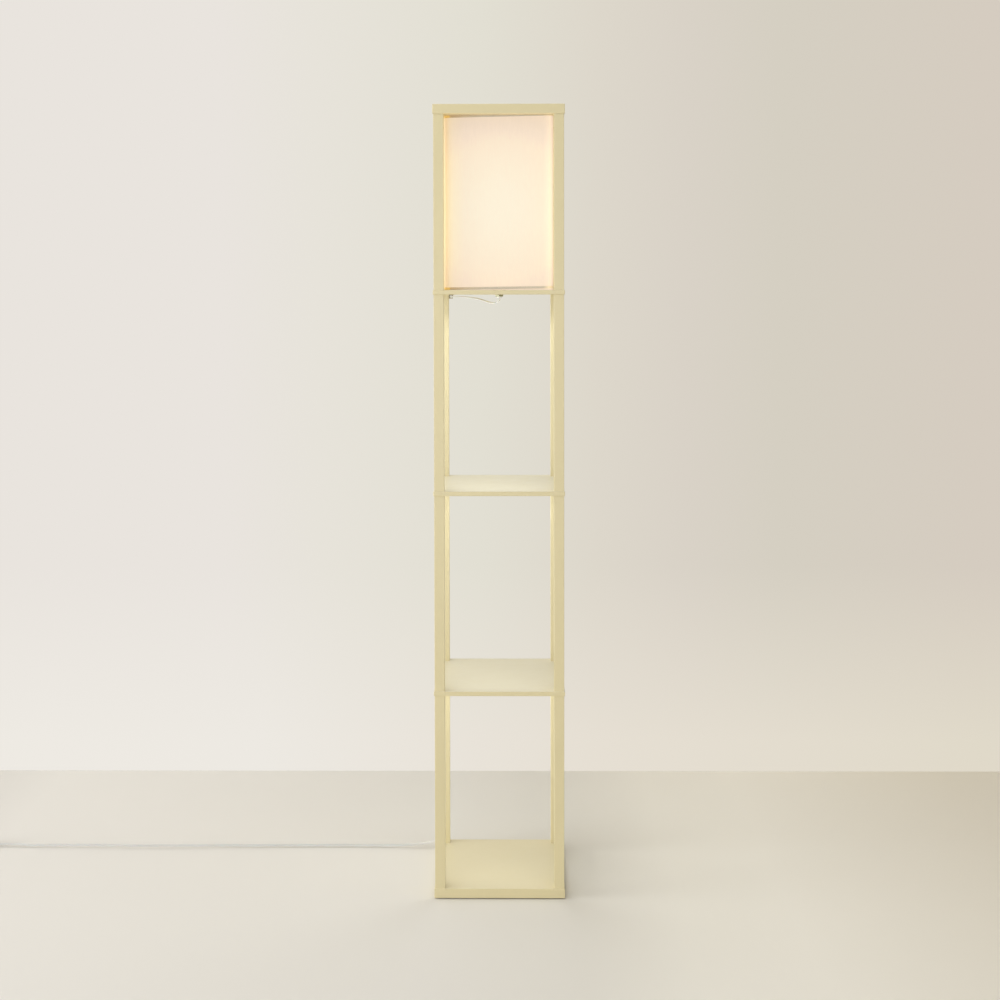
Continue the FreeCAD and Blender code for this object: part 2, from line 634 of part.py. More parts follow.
def cord_coil():
    radius = size("cord_width") / 2
    turns = coil_half_turns()
    arcs = coil_arcs()
    centre = FreeCAD.Vector(size("coil_x"), size("coil_y"), 0)
    lead = FreeCAD.Vector(0, size("cord_width"), 0)
    start = centre + FreeCAD.Vector(-turns[0][0], 0, turns[0][1])
    end = centre + FreeCAD.Vector(-turns[-1][0], 0, turns[-1][1])
    edges = [Part.LineSegment(start + lead, start).toShape()]
    edges += [arc.toShape() for arc in arcs]
    edges.append(Part.LineSegment(end, end - lead).toShape())
    path = Part.Wire(edges)
    section = Part.Wire(Part.Circle(start + lead, lead, radius).toShape())
    solid = path.makePipeShell([section], True, False)
    expected = math.pi * radius ** 2 * path.Length
    print(f"cord_coil: {path.Length:.1f} long, volume {solid.Volume / expected:.4f} of "
          f"section x length, least gap {least_gap(arcs):.2f}")
    shaped("cord_coil", solid)
    return start + lead, end - lead, path.Length


def cord_tie():
    """A flat band round the four turns on the coil's right-hand side."""
    turns = coil_half_turns()
    reach = size("cord_width") / 2 + size("cord_gap")
    wall = size("tie_thickness")
    right = [turns[index] for index in (1, 3, 5, 7)]
    inner = min(distance for distance, _ in right) - reach
    outer = max(distance for distance, _ in right) + reach
    top = max(height for _, height in right) + reach
    bottom = min(height for _, height in right) - reach
    width = size("tie_width")
    corner = FreeCAD.Vector(size("coil_x") + inner, size("coil_y") - width / 2, bottom)
    hollow = Part.makeBox(outer - inner, width, top - bottom, corner)
    corner = corner - FreeCAD.Vector(wall, 0, wall)
    solid = Part.makeBox(outer - inner + 2 * wall, width, top - bottom + 2 * wall, corner)
    return solid.cut(hollow)


RISER_X = f"(-1 * {POST_X})"
RISER_Y = "(Sizes.plan_depth / 2 + Sizes.riser_gap + Sizes.cord_width / 2)"
SWAY = (2.6, -3.0, 3.4, -2.2)


def clip_heights():
    """One clip above each swaying length of the cord behind the post, and one below the last."""
    return [size("top_clip_height") - index * size("clip_spacing")
            for index in range(len(SWAY) + 1)]


def lamp_run_points():
    """From the bushing, along under the lamp shelf, down behind a post and over the floor."""
    x = number(RISER_X)
    y = number(RISER_Y)
    floor = size("cord_width") / 2
    exit_level = number(BUSHING_BOTTOM)
    shelf = number(LAMP_SHELF)
    held = shelf - size("shelf_clip_height")
    clip_x = size("shelf_clip_x")
    clip_y = size("shelf_clip_y")
    run_x = size("shelf_half_run_x")
    run_y = size("shelf_half_run_y")
    points = [(0, 0, exit_level), (0, 0, exit_level - 5.5), (-5, 2.6, shelf - 18.6),
              (-14, 8, shelf - 20.4), (-29, 18.5, shelf - 14.2), (-42, 31, shelf - 9.8),
              (-58, 48, shelf - 7.1), (-76, 68, shelf - 5.6), (-92, 88, shelf - 5.2),
              (clip_x + run_x, clip_y - run_y, held), (clip_x - run_x, clip_y + run_y, held),
              (-106.5, 143, shelf - 6.2), (-113.5, 154, shelf - 12), (-119.5, 158, shelf - 24.5),
              (-121.5, 153.5, shelf - 40), (-120.3, 144, shelf - 57)]
    half_run = size("clip_half_run")
    third = (size("clip_spacing") - 2 * half_run) / 3
    *swaying, lowest = clip_heights()
    for height, aside in zip(swaying, SWAY):
        points += [(x, y, height + half_run), (x, y, height - half_run),
                   (x + aside, y + 2.2, height - half_run - third),
                   (x + aside / 2, y + 3.4, height - half_run - 2 * third)]
    points += [(x, y, lowest + half_run), (x, y, lowest - half_run)]
    points += [(x - 0.5, y + 1, 68), (x - 4, y + 3, 36), (x - 17, y + 5.5, 15.5),
               (-164, 140, 8.2), (-196, 140, 4.6), (-240, 139.4, floor), (-300, 140.8, floor),
               (-372, 139.6, floor), (-446, 139.3, floor), (-520, 137, floor),
               (-592, 135.9, floor), (-664, 134.0, floor), (-738, 133.6, floor),
               (-810, 134.4, floor), (-880, 137.2, floor), (-948, 138.9, floor),
               (-1008, 137.8, floor), (-1052, 136.2, floor + 1.2)]
    relief = size("switch_length") / 2 + size("relief_length")
    entry = size("switch_entry")
    points += [(size("switch_x") + relief + 20, size("switch_y"), entry),
               (size("switch_x") + relief, size("switch_y"), entry)]
    return points


def switch_run_points(coil_start):
    """From the switch's far end, round a quarter turn into the coil."""
    relief = size("switch_length") / 2 + size("relief_length")
    x = size("switch_x") - relief
    y = size("switch_y")
    entry = size("switch_entry")
    edge = coil_start.x
    return [(x, y, entry), (x - 15.5, y, entry), (edge + 7.6, y - 7.8, entry - 1),
            (edge, y - 21.4, entry - 2.4), (edge, coil_start.y + 12, coil_start.z),
            (edge, coil_start.y, coil_start.z)]


def clip(bore_height, foot):
    """A saddle clip: bore along Z, its taped face on the plane Y = 0, its foot towards +X."""
    radius = size("cord_width") / 2 + size("cord_gap")
    wall = size("clip_wall")
    tape = size("tape_thickness")
    length = size("clip_length")
    half = radius + wall
    corner = FreeCAD.Vector(-half, tape, -length / 2)
    block = Part.makeBox(2 * half, bore_height + half - tape, length, corner)
    round_edges = [edge for edge in block.Edges
                   if abs(edge.CenterOfMass.y - (bore_height + half)) < 0.01
                   and abs(edge.CenterOfMass.z) < 0.01]
    block = block.makeFillet(size("clip_ease"), round_edges)
    corner = FreeCAD.Vector(half, tape, -length / 2)
    block = block.fuse(Part.makeBox(foot, wall, length, corner)).removeSplitter()
    bore = Part.makeCylinder(radius, length, FreeCAD.Vector(0, bore_height, -length / 2))
    corner = FreeCAD.Vector(-half, 0, -length / 2)
    return block.cut(bore), Part.makeBox(2 * half + foot, tape, length, corner)


def make_clips():
    x = number(RISER_X)
    back = number(POST_Y) + size("post_side") / 2
    foot = size("clip_foot")
    placements = []
    for height in clip_heights():
        spot = FreeCAD.Placement(FreeCAD.Vector(x, back, height), FreeCAD.Rotation())
        placements.append((number(RISER_Y) - back, spot))
    run = FreeCAD.Vector(-size("shelf_half_run_x"), size("shelf_half_run_y"), 0).normalize()
    down = FreeCAD.Vector(0, 0, -1)
    turn = FreeCAD.Rotation(down.cross(run), down, run, "ZXY")
    spot = FreeCAD.Placement(FreeCAD.Vector(size("shelf_clip_x"), size("shelf_clip_y"),
                                            number(LAMP_SHELF)), turn)
    placements.append((size("shelf_clip_height"), spot))
    clips = []
    tapes = []
    for bore_height, spot in placements:
        for solid, pile in zip(clip(bore_height, foot), (clips, tapes)):
            solid.Placement = spot
            pile.append(solid)
    shaped("cord_clips", Part.makeCompound(clips))
    shaped("clip_tapes", Part.makeCompound(tapes))


# ---------------------------------------------------------------- foot switch and plug


def rounded_block(width, depth, height, corner, x, y, z, ease_top=0.0, ease_bottom=0.0):
    """An upright block with rounded corners, centred on x and y, its rims eased."""
    block = Part.makeBox(width, depth, height, FreeCAD.Vector(x - width / 2, y - depth / 2, z))
    upright = [edge for edge in block.Edges if abs(edge.Vertexes[0].Z - edge.Vertexes[1].Z) > 0.1]
    block = block.makeFillet(corner, upright)
    for ease, level in ((ease_top, z + height), (ease_bottom, z)):
        if ease > 0:
            rim = [edge for edge in block.Edges
                   if all(abs(vertex.Z - level) < 0.001 for vertex in edge.Vertexes)]
            block = block.makeFillet(ease, rim)
    return block


def make_switch():
    x = size("switch_x")
    y = size("switch_y")
    length = size("switch_length")
    width = size("switch_width")
    corner = size("switch_corner")
    wall = size("switch_wall")
    lower = size("lower_shell_height")
    upper = size("upper_shell_height")
    ease = size("switch_ease")
    inner = (length - 2 * wall, width - 2 * wall)
    top = lower + upper
    button_bore = size("button_radius") + size("button_gap")

    bottom_shell = rounded_block(length, width, lower, corner, x, y, 0, ease_bottom=ease / 2)
    room = rounded_block(*inner, lower - wall, corner - wall, x, y, wall)
    shaped("switch_lower_shell", bottom_shell.cut(room))
    top_shell = rounded_block(length, width, upper, corner, x, y, lower, ease_top=ease)
    room = rounded_block(*inner, upper - wall, corner - wall, x, y, lower)
    mouth = Part.makeCylinder(button_bore, wall, FreeCAD.Vector(x, y, top - wall))
    shaped("switch_upper_shell", top_shell.cut(room).cut(mouth))

    rim_height = size("button_rim_height")
    rim_top = top - wall - size("cord_gap")
    rim = Part.makeCylinder(size("button_radius") + size("button_rim"), rim_height,
                            FreeCAD.Vector(x, y, rim_top - rim_height))
    cap = Part.makeCylinder(size("button_radius"), top + size("button_proud") - rim_top,
                            FreeCAD.Vector(x, y, rim_top))
    crown = [edge for edge in cap.Edges if abs(edge.CenterOfMass.z - cap.BoundBox.ZMax) < 0.01]
    shaped("switch_button", cap.makeFillet(size("button_proud") / 2, crown).fuse(rim))

    block_height = rim_top - rim_height - size("button_travel") - size("cord_gap") - wall
    block = Part.makeBox(size("block_length"), size("block_width"), block_height,
                         FreeCAD.Vector(x - size("block_length") / 2,
                                        y - size("block_width") / 2, wall))
    shaped("switch_contact_block", block)

    reliefs = []
    for side in (-1, 1):
        root = FreeCAD.Vector(x + side * length / 2, y, size("switch_entry"))
        reliefs.append(Part.makeCone(size("relief_root"), size("relief_tip"),
                                     size("relief_length"), root, FreeCAD.Vector(side, 0, 0)))
    shaped("switch_reliefs", Part.makeCompound(reliefs))


def make_plug(tail_start):
    """The plug lies flat on the floor in line with the coil's last turn, blades forward."""
    level = size("plug_thickness") / 2
    x = tail_start.x
    tip = FreeCAD.Vector(x, tail_start.y - size("plug_lead"), level)
    forward = FreeCAD.Vector(0, -1, 0)
    face = tip.y - size("plug_relief")
    length = size("plug_length")
    relief = Part.makeCone(size("cord_width") / 2 + size("cord_gap"), size("plug_relief_root"),
                           size("plug_relief"), tip, forward)
    corner = FreeCAD.Vector(x - size("plug_width") / 2, face - length, 0)
    body = Part.makeBox(size("plug_width"), length, size("plug_thickness"), corner)
    along = [edge for edge in body.Edges
             if abs(edge.Vertexes[0].Y - edge.Vertexes[1].Y) > 0.1]
    body = body.makeFillet(size("plug_ease"), along)
    shaped("plug_body", body.fuse(relief))
    blades = []
    for side in (-1, 1):
        start = FreeCAD.Vector(x + side * size("blade_spacing") / 2 - size("blade_thickness") / 2,
                               face - length - size("blade_length"),
                               level - size("blade_width") / 2)
        blades.append(Part.makeBox(size("blade_thickness"), size("blade_length"),
                                   size("blade_width"), start))
    shaped("plug_blades", Part.makeCompound(blades))
    return tip


def make_cord():
    _, lamp_length = tube_along("cord_lamp_run", lamp_run_points())
    coil_start, coil_end, coil_length = cord_coil()
    _, switch_length = tube_along("cord_switch_run", switch_run_points(coil_start))
    shaped("cord_tie", cord_tie())
    tip = make_plug(coil_end)
    third = FreeCAD.Vector(0, (tip - coil_end).y / 3, 0)
    tail = [coil_end, coil_end + third, tip - third, tip]
    _, tail_length = tube_along("cord_plug_run", tail)
    through = size("switch_length") + 2 * size("relief_length")
    total = lamp_length + through + switch_length + coil_length + tail_length
    print(f"whole cord, bushing to plug: {total:.0f}")


make_boards()
make_posts()
make_joinery()
make_shade()
make_stem()
make_lampholder()
make_bulb()
make_clips()
make_switch()
make_cord()
doc.recompute()

for item in doc.Objects:
    if {"Invalid", "Error"} & set(item.State):
        raise ValueError(f"{item.Name} failed: {item.State}")
for item in parts:
    if item.Shape.isNull() or not item.Shape.isValid():
        raise ValueError(f"{item.Label} has no valid shape")

os.makedirs("parts", exist_ok=True)
for item in parts:
    item.Shape.exportStep(f"parts/{item.Label}.step")
print(f"{len(parts)} nodes written")
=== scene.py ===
"""The looks of the shelf floor lamp: its cords, cloth, fittings and finishes, and the stage.

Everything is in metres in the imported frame: X to the right in the photograph, Y to the rear
and Z up, from the floor under the middle of the lamp. Tables that say so are in millimetres.
"""
import math
import bpy
from mathutils import Matrix, Vector, noise


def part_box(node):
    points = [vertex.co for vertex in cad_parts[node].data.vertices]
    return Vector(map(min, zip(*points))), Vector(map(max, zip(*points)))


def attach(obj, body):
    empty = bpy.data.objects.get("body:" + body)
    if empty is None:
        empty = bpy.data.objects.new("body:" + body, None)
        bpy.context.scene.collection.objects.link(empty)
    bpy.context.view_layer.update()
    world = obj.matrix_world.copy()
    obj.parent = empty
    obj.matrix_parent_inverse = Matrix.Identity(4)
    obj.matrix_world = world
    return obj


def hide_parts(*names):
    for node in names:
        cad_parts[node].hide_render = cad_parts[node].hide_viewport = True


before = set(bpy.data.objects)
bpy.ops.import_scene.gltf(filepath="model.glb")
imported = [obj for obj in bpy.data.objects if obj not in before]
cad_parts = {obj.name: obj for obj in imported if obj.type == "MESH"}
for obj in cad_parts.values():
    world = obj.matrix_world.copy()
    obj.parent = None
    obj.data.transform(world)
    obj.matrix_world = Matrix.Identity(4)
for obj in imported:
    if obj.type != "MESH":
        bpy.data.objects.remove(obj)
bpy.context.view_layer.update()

MM = 0.001
STAND = "stand"
BULB = "bulb"
BUTTON = "foot_button"


# ---------------------------------------------------------------- camera

# The sensor and the lens are in millimetres, the turns in degrees.
SENSOR_WIDTH = 36.0
FOCAL_LENGTH = 52.17
SHIFT = (0.0036, -0.1692)
CAMERA_SPOT = (0.0203, -2.981, 1.2116)
PITCH_ROLL_YAW = (-1.605, -0.094, 0.505)


def make_camera():
    """The camera as fitted to the lamp's edges in the photograph."""
    lens = bpy.data.cameras.new("photo_camera")
    lens.sensor_width = SENSOR_WIDTH
    lens.lens = FOCAL_LENGTH
    lens.shift_x, lens.shift_y = SHIFT
    lens.clip_start = 0.05
    lens.clip_end = 60.0
    camera = bpy.data.objects.new("photo_camera", lens)
    camera.location = CAMERA_SPOT
    pitch, roll, yaw = (math.radians(angle) for angle in PITCH_ROLL_YAW)
    level = Matrix.Rotation(math.pi / 2, 3, "X")
    turn = Matrix.Rotation(yaw, 3, "Z") @ level @ Matrix.Rotation(pitch, 3, "X")
    camera.rotation_euler = (turn @ Matrix.Rotation(roll, 3, "Z")).to_euler()
    bpy.context.scene.collection.objects.link(camera)
    bpy.context.scene.camera = camera


# ---------------------------------------------------------------- mesh helpers

# The signs of x and y in each quarter of a plan, counterclockwise.
QUARTERS = ((1, 1), (-1, 1), (-1, -1), (1, -1))


def mm(x, y, z):
    """A point given in millimetres."""
    return Vector((x, y, z)) * MM


def evenly(low, high, steps):
    """Values from low to high, both included, in equal steps."""
    return [low + (high - low) * step / steps for step in range(steps + 1)]


def new_mesh(name, points, faces, material, smooth=40.0):
    """An object of the given points and faces, smooth up to an angle between faces in degrees."""
    mesh = bpy.data.meshes.new(name)
    mesh.from_pydata([tuple(point) for point in points], [], faces)
    mesh.validate()
    mesh.polygons.foreach_set("use_smooth", [True] * len(mesh.polygons))
    mesh.update()
    mesh.set_sharp_from_angle(angle=math.radians(smooth))
    mesh.materials.append(material)
    made = bpy.data.objects.new(name, mesh)
    bpy.context.scene.collection.objects.link(made)
    return made


def loft(name, rings, material, closed=False, smooth=40.0):
    """Skin over rings of equally many points; the ends are capped, or joined if closed."""
    count = len(rings[0])
    points = [point for ring in rings for point in ring]
    faces = []
    spans = len(rings) if closed else len(rings) - 1
    for row in range(spans):
        low = row * count
        high = (row + 1) % len(rings) * count
        for index in range(count):
            after = (index + 1) % count
            faces.append((low + index, low + after, high + after, high + index))
    if not closed:
        faces.append(tuple(reversed(range(count))))
        faces.append(tuple(range(len(points) - count, len(points))))
    return new_mesh(name, points, faces, material, smooth)


def lathe(name, profile, material, place=Matrix.Identity(4), segments=64, closed=False,
          warp=None, smooth=40.0):
    """Turns a profile of (radius, height) about the place's Z. A closed one makes a ring."""
    rings = []
    for radius, height in profile:
        ring = []
        for index in range(segments):
            angle = 2 * math.pi * index / segments
            reach = warp(angle, radius, height) if warp else radius
            ring.append(place @ Vector((reach * math.cos(angle), reach * math.sin(angle), height)))
        rings.append(ring)
    return loft(name, rings, material, closed, smooth)


def finish_piece(piece, slot, *nodes, body=STAND):
    """Hides the CAD nodes that the piece stands for, and fixes the piece to its body; the slot is
    not used.
    """
    if nodes:
        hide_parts(*nodes)
    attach(piece, body)
    return piece


# ---------------------------------------------------------------- material helpers

# Most of a noise texture's values lie in this range.
NOISE_LOW, NOISE_HIGH = 0.3, 0.7
EVEN = (1.0, 1.0, 1.0)


def srgb(red, green, blue):
    """A colour of 0 to 255 as the eye names it, as linear light."""
    def linear(value):
        share = value / 255
        return share / 12.92 if share <= 0.04045 else ((share + 0.055) / 1.055) ** 2.4
    return (linear(red), linear(green), linear(blue), 1.0)


def grey(value):
    return (value, value, value)


def toned(colour, factor):
    return tuple(min(1.0, channel * factor) for channel in colour[:3])


def plug_in(tree, socket, value):
    """Links an output to the socket, or sets a plain value on it."""
    if isinstance(value, bpy.types.NodeSocket):
        tree.links.new(value, socket)
    else:
        socket.default_value = value


def node(tree, kind, *values, settings=None, out=0, **named):
    """A shader node with its inputs set or linked, in order or by name; gives one output."""
    made = tree.nodes.new("ShaderNode" + kind)
    for key, value in (settings or {}).items():
        setattr(made, key, value)
    for index, value in enumerate(values):
        plug_in(tree, made.inputs[index], value)
    for key, value in named.items():
        plug_in(tree, made.inputs[key.replace("_", " ")], value)
    return made.outputs[out]


def maths(tree, operation, *values):
    return node(tree, "Math", *values, settings={"operation": operation})


def vectors(tree, operation, first, second, out=0):
    return node(tree, "VectorMath", first, second, settings={"operation": operation}, out=out)


def product(tree, first, second):
    return vectors(tree, "MULTIPLY", first, second)


def blend(tree, share, first, second):
    """The first colour, fading into the second as share goes from 0 to 1."""
    rest = maths(tree, "SUBTRACT", 1.0, share)
    return vectors(tree, "ADD", product(tree, first, rest), product(tree, second, share))


def scaled(tree, value, low, high, new_low=0.0, new_high=1.0):
    """The value carried from the range low to high to the new one, and held inside it."""
    return node(tree, "MapRange", value, low, high, new_low, new_high)


def spot_on(tree):
    """Where a point is on its object, in the object's own frame."""
    return tree.nodes.new("ShaderNodeTexCoord").outputs["Object"]


def height_on(tree):
    return node(tree, "SeparateXYZ", spot_on(tree), out="Z")


def speckle(tree, scale, detail=2.0, stretch=EVEN, roughness=0.5):
    """Noise of scale cells to the metre; an axis with a stretch below 1 has longer cells."""
    place = node(tree, "Mapping", spot_on(tree), Scale=stretch)
    return node(tree, "TexNoise", Vector=place, Scale=scale, Detail=detail, Roughness=roughness)


def ramp(tree, factor, *stops):
    """A colour ramp; each stop is (position, colour)."""
    made = tree.nodes.new("ShaderNodeValToRGB")
    band = made.color_ramp.elements
    while len(band) < len(stops):
        band.new(0.5)
    for element, (position, colour) in zip(band, stops):
        element.position = position
        element.color = (*colour[:3], 1.0)
    tree.links.new(factor, made.inputs[0])
    return made.outputs[0]


def two_toned(tree, drift, first, second):
    """Noise as a drift from one colour to another."""
    return ramp(tree, drift, (NOISE_LOW, first), (NOISE_HIGH, second))


def recipe(name, **sockets):
    """A new material, its node tree and its shader, with the given constants on the shader."""
    made = bpy.data.materials.new(name)
    made.use_nodes = True
    shader = made.node_tree.nodes["Principled BSDF"]
    for key, value in sockets.items():
        shader.inputs[key.replace("_", " ")].default_value = value
    return made, made.node_tree, shader


def drive(shader, socket, output):
    """Lets an output drive one of the shader's sockets."""
    shader.id_data.links.new(output, shader.inputs[socket])


def mottled(tree, shader, colour, spread, scale, detail=3.0, stretch=EVEN):
    """Base colour that drifts lighter and darker by spread over the surface."""
    drift = speckle(tree, scale, detail, stretch)
    drive(shader, "Base Color",
          two_toned(tree, drift, toned(colour, 1 - spread), toned(colour, 1 + spread)))


def patchy(tree, shader, scale, detail, smoothest, roughest):
    """Gloss that changes from patch to patch."""
    drift = speckle(tree, scale, detail)
    drive(shader, "Roughness",
          scaled(tree, drift, NOISE_LOW, NOISE_HIGH, smoothest, roughest))


def bumped(tree, shader, height, strength, depth):
    """Relief of the given depth in metres, where height goes from 0 to 1."""
    drive(shader, "Normal",
          node(tree, "Bump", Height=height, Strength=strength, Distance=depth))


# ---------------------------------------------------------------- painted wood

PAINT = srgb(220, 208, 166)
# The pale colour below is blended into upward faces as a painted sheen, a reflection painted into
# the paint's colour.
PAINTED_SHEEN = (0.82, 0.82, 0.78)
PAINTED_SHEEN_HEIGHTS = (0.02, 0.40)
PAINTED_SHEEN_SHARES = (0.14, 0.37)
PAINT_RELIEF = 0.3 * MM
GRAIN_STRETCH = 0.06


def painted_wood(name, grain_stretch):
    """Satin cream paint sprayed on board: faint grain, fine orange peel, a pale painted sheen on
    top.

    The painted sheen, a pale reflection blended into the colour, lies on faces that look up, less
    on the base board than on the shelves.
    """
    made, tree, shader = recipe(name, Specular_IOR_Level=0.5, Coat_Weight=0.12,
                                Coat_Roughness=0.35)
    broad = speckle(tree, 5.0, 3.0)
    fine = speckle(tree, 260.0)
    both = maths(tree, "MULTIPLY_ADD", fine, 0.25, maths(tree, "MULTIPLY", broad, 0.75))
    paint = ramp(tree, both, (0.32, toned(PAINT, 0.975)), (0.68, toned(PAINT, 1.02)))
    upward = node(tree, "SeparateXYZ", node(tree, "NewGeometry", out="Normal"), out="Z")
    # Painted sheen: upward faces fade towards the pale colour, more on the shelves than on the base
    # board.
    painted_sheen = maths(tree, "MULTIPLY", scaled(tree, upward, 0.5, 1.0),
                 scaled(tree, height_on(tree), *PAINTED_SHEEN_HEIGHTS, *PAINTED_SHEEN_SHARES))
    drive(shader, "Base Color", blend(tree, painted_sheen, paint, PAINTED_SHEEN))
    patchy(tree, shader, 45.0, 3.0, 0.30, 0.40)
    grain = speckle(tree, 60.0, 4.0, grain_stretch, 0.6)
    peel = speckle(tree, 900.0, 1.0)
    relief = maths(tree, "MULTIPLY_ADD", grain, 0.6, maths(tree, "MULTIPLY", peel, 0.4))
    bumped(tree, shader, relief, 0.12, PAINT_RELIEF)
    return made


# ---------------------------------------------------------------- cloth

CLOTH_COLOUR = srgb(193, 183, 160)
CLOTH_PITCH = 1.1 * MM
TAPE_PITCH = 0.6 * MM
BULB_MIDDLE = (0.004, 0.0, 1.370)
GLOW_NEAR = 0.098
GLOW_FAR = 0.225
LEFT_CORNER = (-0.108, -0.108, 0.0)
RIGHT_CORNER = (0.108, -0.108, 0.0)

# What the lit cloth sheds, from the far parts of the shade to the part beside the bulb.
GLOW = ((0.10, (0.84, 0.66, 0.60)), (0.27, (0.91, 0.71, 0.635)), (0.39, (0.985, 0.79, 0.66)),
        (0.72, (0.995, 0.87, 0.73)), (0.92, (1.0, 0.92, 0.79)))

# How the glow changes from a front corner inwards: at the left one a painted warm cast, the post's
# yellow light and shade painted in; at the right one painted light. The last stops are those of
# plain cloth, and the gain brings the product of the two back to the right level.
LEFT_REACH = 0.040
LEFT_PAINTED_CAST = ((0.11, (0.77, 0.66, 0.41)), (0.275, (0.70, 0.69, 0.53)), (0.475, (0.69, 0.69, 0.61)),
             (1.0, grey(0.667)))
RIGHT_REACH = 0.020
RIGHT_PAINTED_LIGHT = ((0.22, (0.99, 0.97, 0.90)), (0.55, (0.79, 0.81, 0.79)), (1.0, grey(0.714)))
FADE_GAIN = grey(1.4)

# The hem's colour from the left corner inwards, darker and more orange near that corner as painted
# shade with a painted yellow cast from the post, and the light that gets through it at both, a
# painted gleam.
TAPE_REACH = 0.080
TAPE_PAINTED_SHADE = ((0.0, (0.66, 0.44, 0.14)), (0.125, (0.66, 0.44, 0.14)), (0.16, (0.68, 0.50, 0.29)),
             (0.5, (0.70, 0.59, 0.44)), (1.0, (0.68, 0.62, 0.53)))
LEFT_GLEAM_REACH = 0.016
LEFT_GLEAM = ((0.0, (0.60, 0.42, 0.13)), (0.6, (0.55, 0.38, 0.11)), (0.8, grey(0.0)))
RIGHT_GLEAM_REACH = 0.020
RIGHT_GLEAM = ((0.0, (0.70, 0.55, 0.25)), (0.5, (0.60, 0.45, 0.20)), (1.0, grey(0.0)))


def woven(tree, pitch):
    """The height of a plain weave: one set of yarns runs up, the other goes round the shade."""
    spot = node(tree, "SeparateXYZ", spot_on(tree)).node
    around = maths(tree, "ADD", spot.outputs["X"], spot.outputs["Y"])
    turns = 2 * math.pi / pitch
    warp_yarn = maths(tree, "SINE", maths(tree, "MULTIPLY", around, turns))
    weft_yarn = maths(tree, "SINE", maths(tree, "MULTIPLY", spot.outputs["Z"], turns))
    return maths(tree, "MULTIPLY", warp_yarn, weft_yarn)


def from_corner(tree, corner, reach):
    """How far a point stands, in plan, from a front corner of the shade, as a share of reach."""
    flat = product(tree, spot_on(tree), (1.0, 1.0, 0.0))
    return scaled(tree, vectors(tree, "DISTANCE", flat, corner, "Value"), 0.0, reach)


def shade_cloth():
    """Cream cloth lit from inside, its light painted in as emission: brightest by the bulb, warmer
    and dimmer at the left front corner by a painted cast of the post's yellow light, brighter at
    the right one by painted light.
    """
    made, tree, shader = recipe("shade_cloth", Roughness=0.85, Sheen_Weight=0.15,
                                Sheen_Roughness=0.5, Specular_IOR_Level=0.2,
                                Emission_Strength=0.74)
    mottled(tree, shader, CLOTH_COLOUR, 0.02, 420.0, 3.0, (1.0, 1.0, 0.15))
    left = ramp(tree, from_corner(tree, LEFT_CORNER, LEFT_REACH), *LEFT_PAINTED_CAST)
    right = ramp(tree, from_corner(tree, RIGHT_CORNER, RIGHT_REACH), *RIGHT_PAINTED_LIGHT)
    # Painted light at the two front corners: a warm cast at the left, brightening at the right.
    edge = product(tree, product(tree, left, right), FADE_GAIN)
    reach = vectors(tree, "DISTANCE", spot_on(tree), BULB_MIDDLE, "Value")
    near = scaled(tree, reach, GLOW_NEAR, GLOW_FAR, 1.0, 0.0)
    slubs = speckle(tree, 300.0, 2.0, (1.0, 1.0, 0.12))
    near = maths(tree, "MULTIPLY_ADD", slubs, 0.16, maths(tree, "SUBTRACT", near, 0.08))
    drive(shader, "Emission Color", product(tree, ramp(tree, near, *GLOW), edge))
    bumped(tree, shader, woven(tree, CLOTH_PITCH), 0.35, 0.12 * MM)
    return made


def hem_tape():
    """Folded cloth: too thick for the light, but for a painted gleam round the two front corners,
    and painted shade with a yellow cast towards the left one.
    """
    made, tree, shader = recipe("hem_tape", Roughness=0.8, Sheen_Weight=0.1,
                                Emission_Strength=0.5)
    # Painted shade with a yellow cast, darkest near the left front corner.
    tape = ramp(tree, from_corner(tree, LEFT_CORNER, TAPE_REACH), *TAPE_PAINTED_SHADE)
    grain = two_toned(tree, speckle(tree, 500.0, 2.0, (1.0, 1.0, 0.2)), grey(0.94), grey(1.0))
    drive(shader, "Base Color", product(tree, tape, grain))
    left = ramp(tree, from_corner(tree, LEFT_CORNER, LEFT_GLEAM_REACH), *LEFT_GLEAM)
    right = ramp(tree, from_corner(tree, RIGHT_CORNER, RIGHT_GLEAM_REACH), *RIGHT_GLEAM)
    drive(shader, "Emission Color", vectors(tree, "ADD", left, right))
    bumped(tree, shader, woven(tree, TAPE_PITCH), 0.5, 0.1 * MM)
    return made


# ---------------------------------------------------------------- other finishes

CORD_SHADE_HEIGHTS = (0.009, 0.014)
CORD_PAINTED_SHADE = srgb(205, 205, 203)
CORD_WHITE = srgb(230, 229, 225)
GLOBE_HEIGHTS = (1.34, 1.40)
SCREW_PITCH = 1.0 * MM


def moulded(name, colour, roughness, spread=0.015, grain=1800.0, strength=0.12, **sockets):
    """Moulded plastic with a fine spark-eroded grain and slight changes of tone and gloss."""
    made, tree, shader = recipe(name, **sockets)
    mottled(tree, shader, colour, spread, 60.0)
    patchy(tree, shader, 110.0, 3.0, roughness - 0.05, roughness + 0.07)
    bumped(tree, shader, speckle(tree, grain), strength, 0.1 * MM)
    return made


def cord_jacket():
    """Soft white insulation, greyer along the stretch near the floor: painted shade."""
    made, tree, shader = recipe("cord_jacket", Roughness=0.42, Subsurface_Weight=0.08)
    # Painted shade: the jacket greys where it runs near the floor.
    jacket = ramp(tree, scaled(tree, height_on(tree), *CORD_SHADE_HEIGHTS),
                  (0.0, CORD_PAINTED_SHADE), (1.0, CORD_WHITE))
    grain = two_toned(tree, speckle(tree, 60.0, 3.0), grey(0.97), grey(1.0))
    drive(shader, "Base Color", product(tree, jacket, grain))
    bumped(tree, shader, speckle(tree, 900.0), 0.10, 0.1 * MM)
    return made


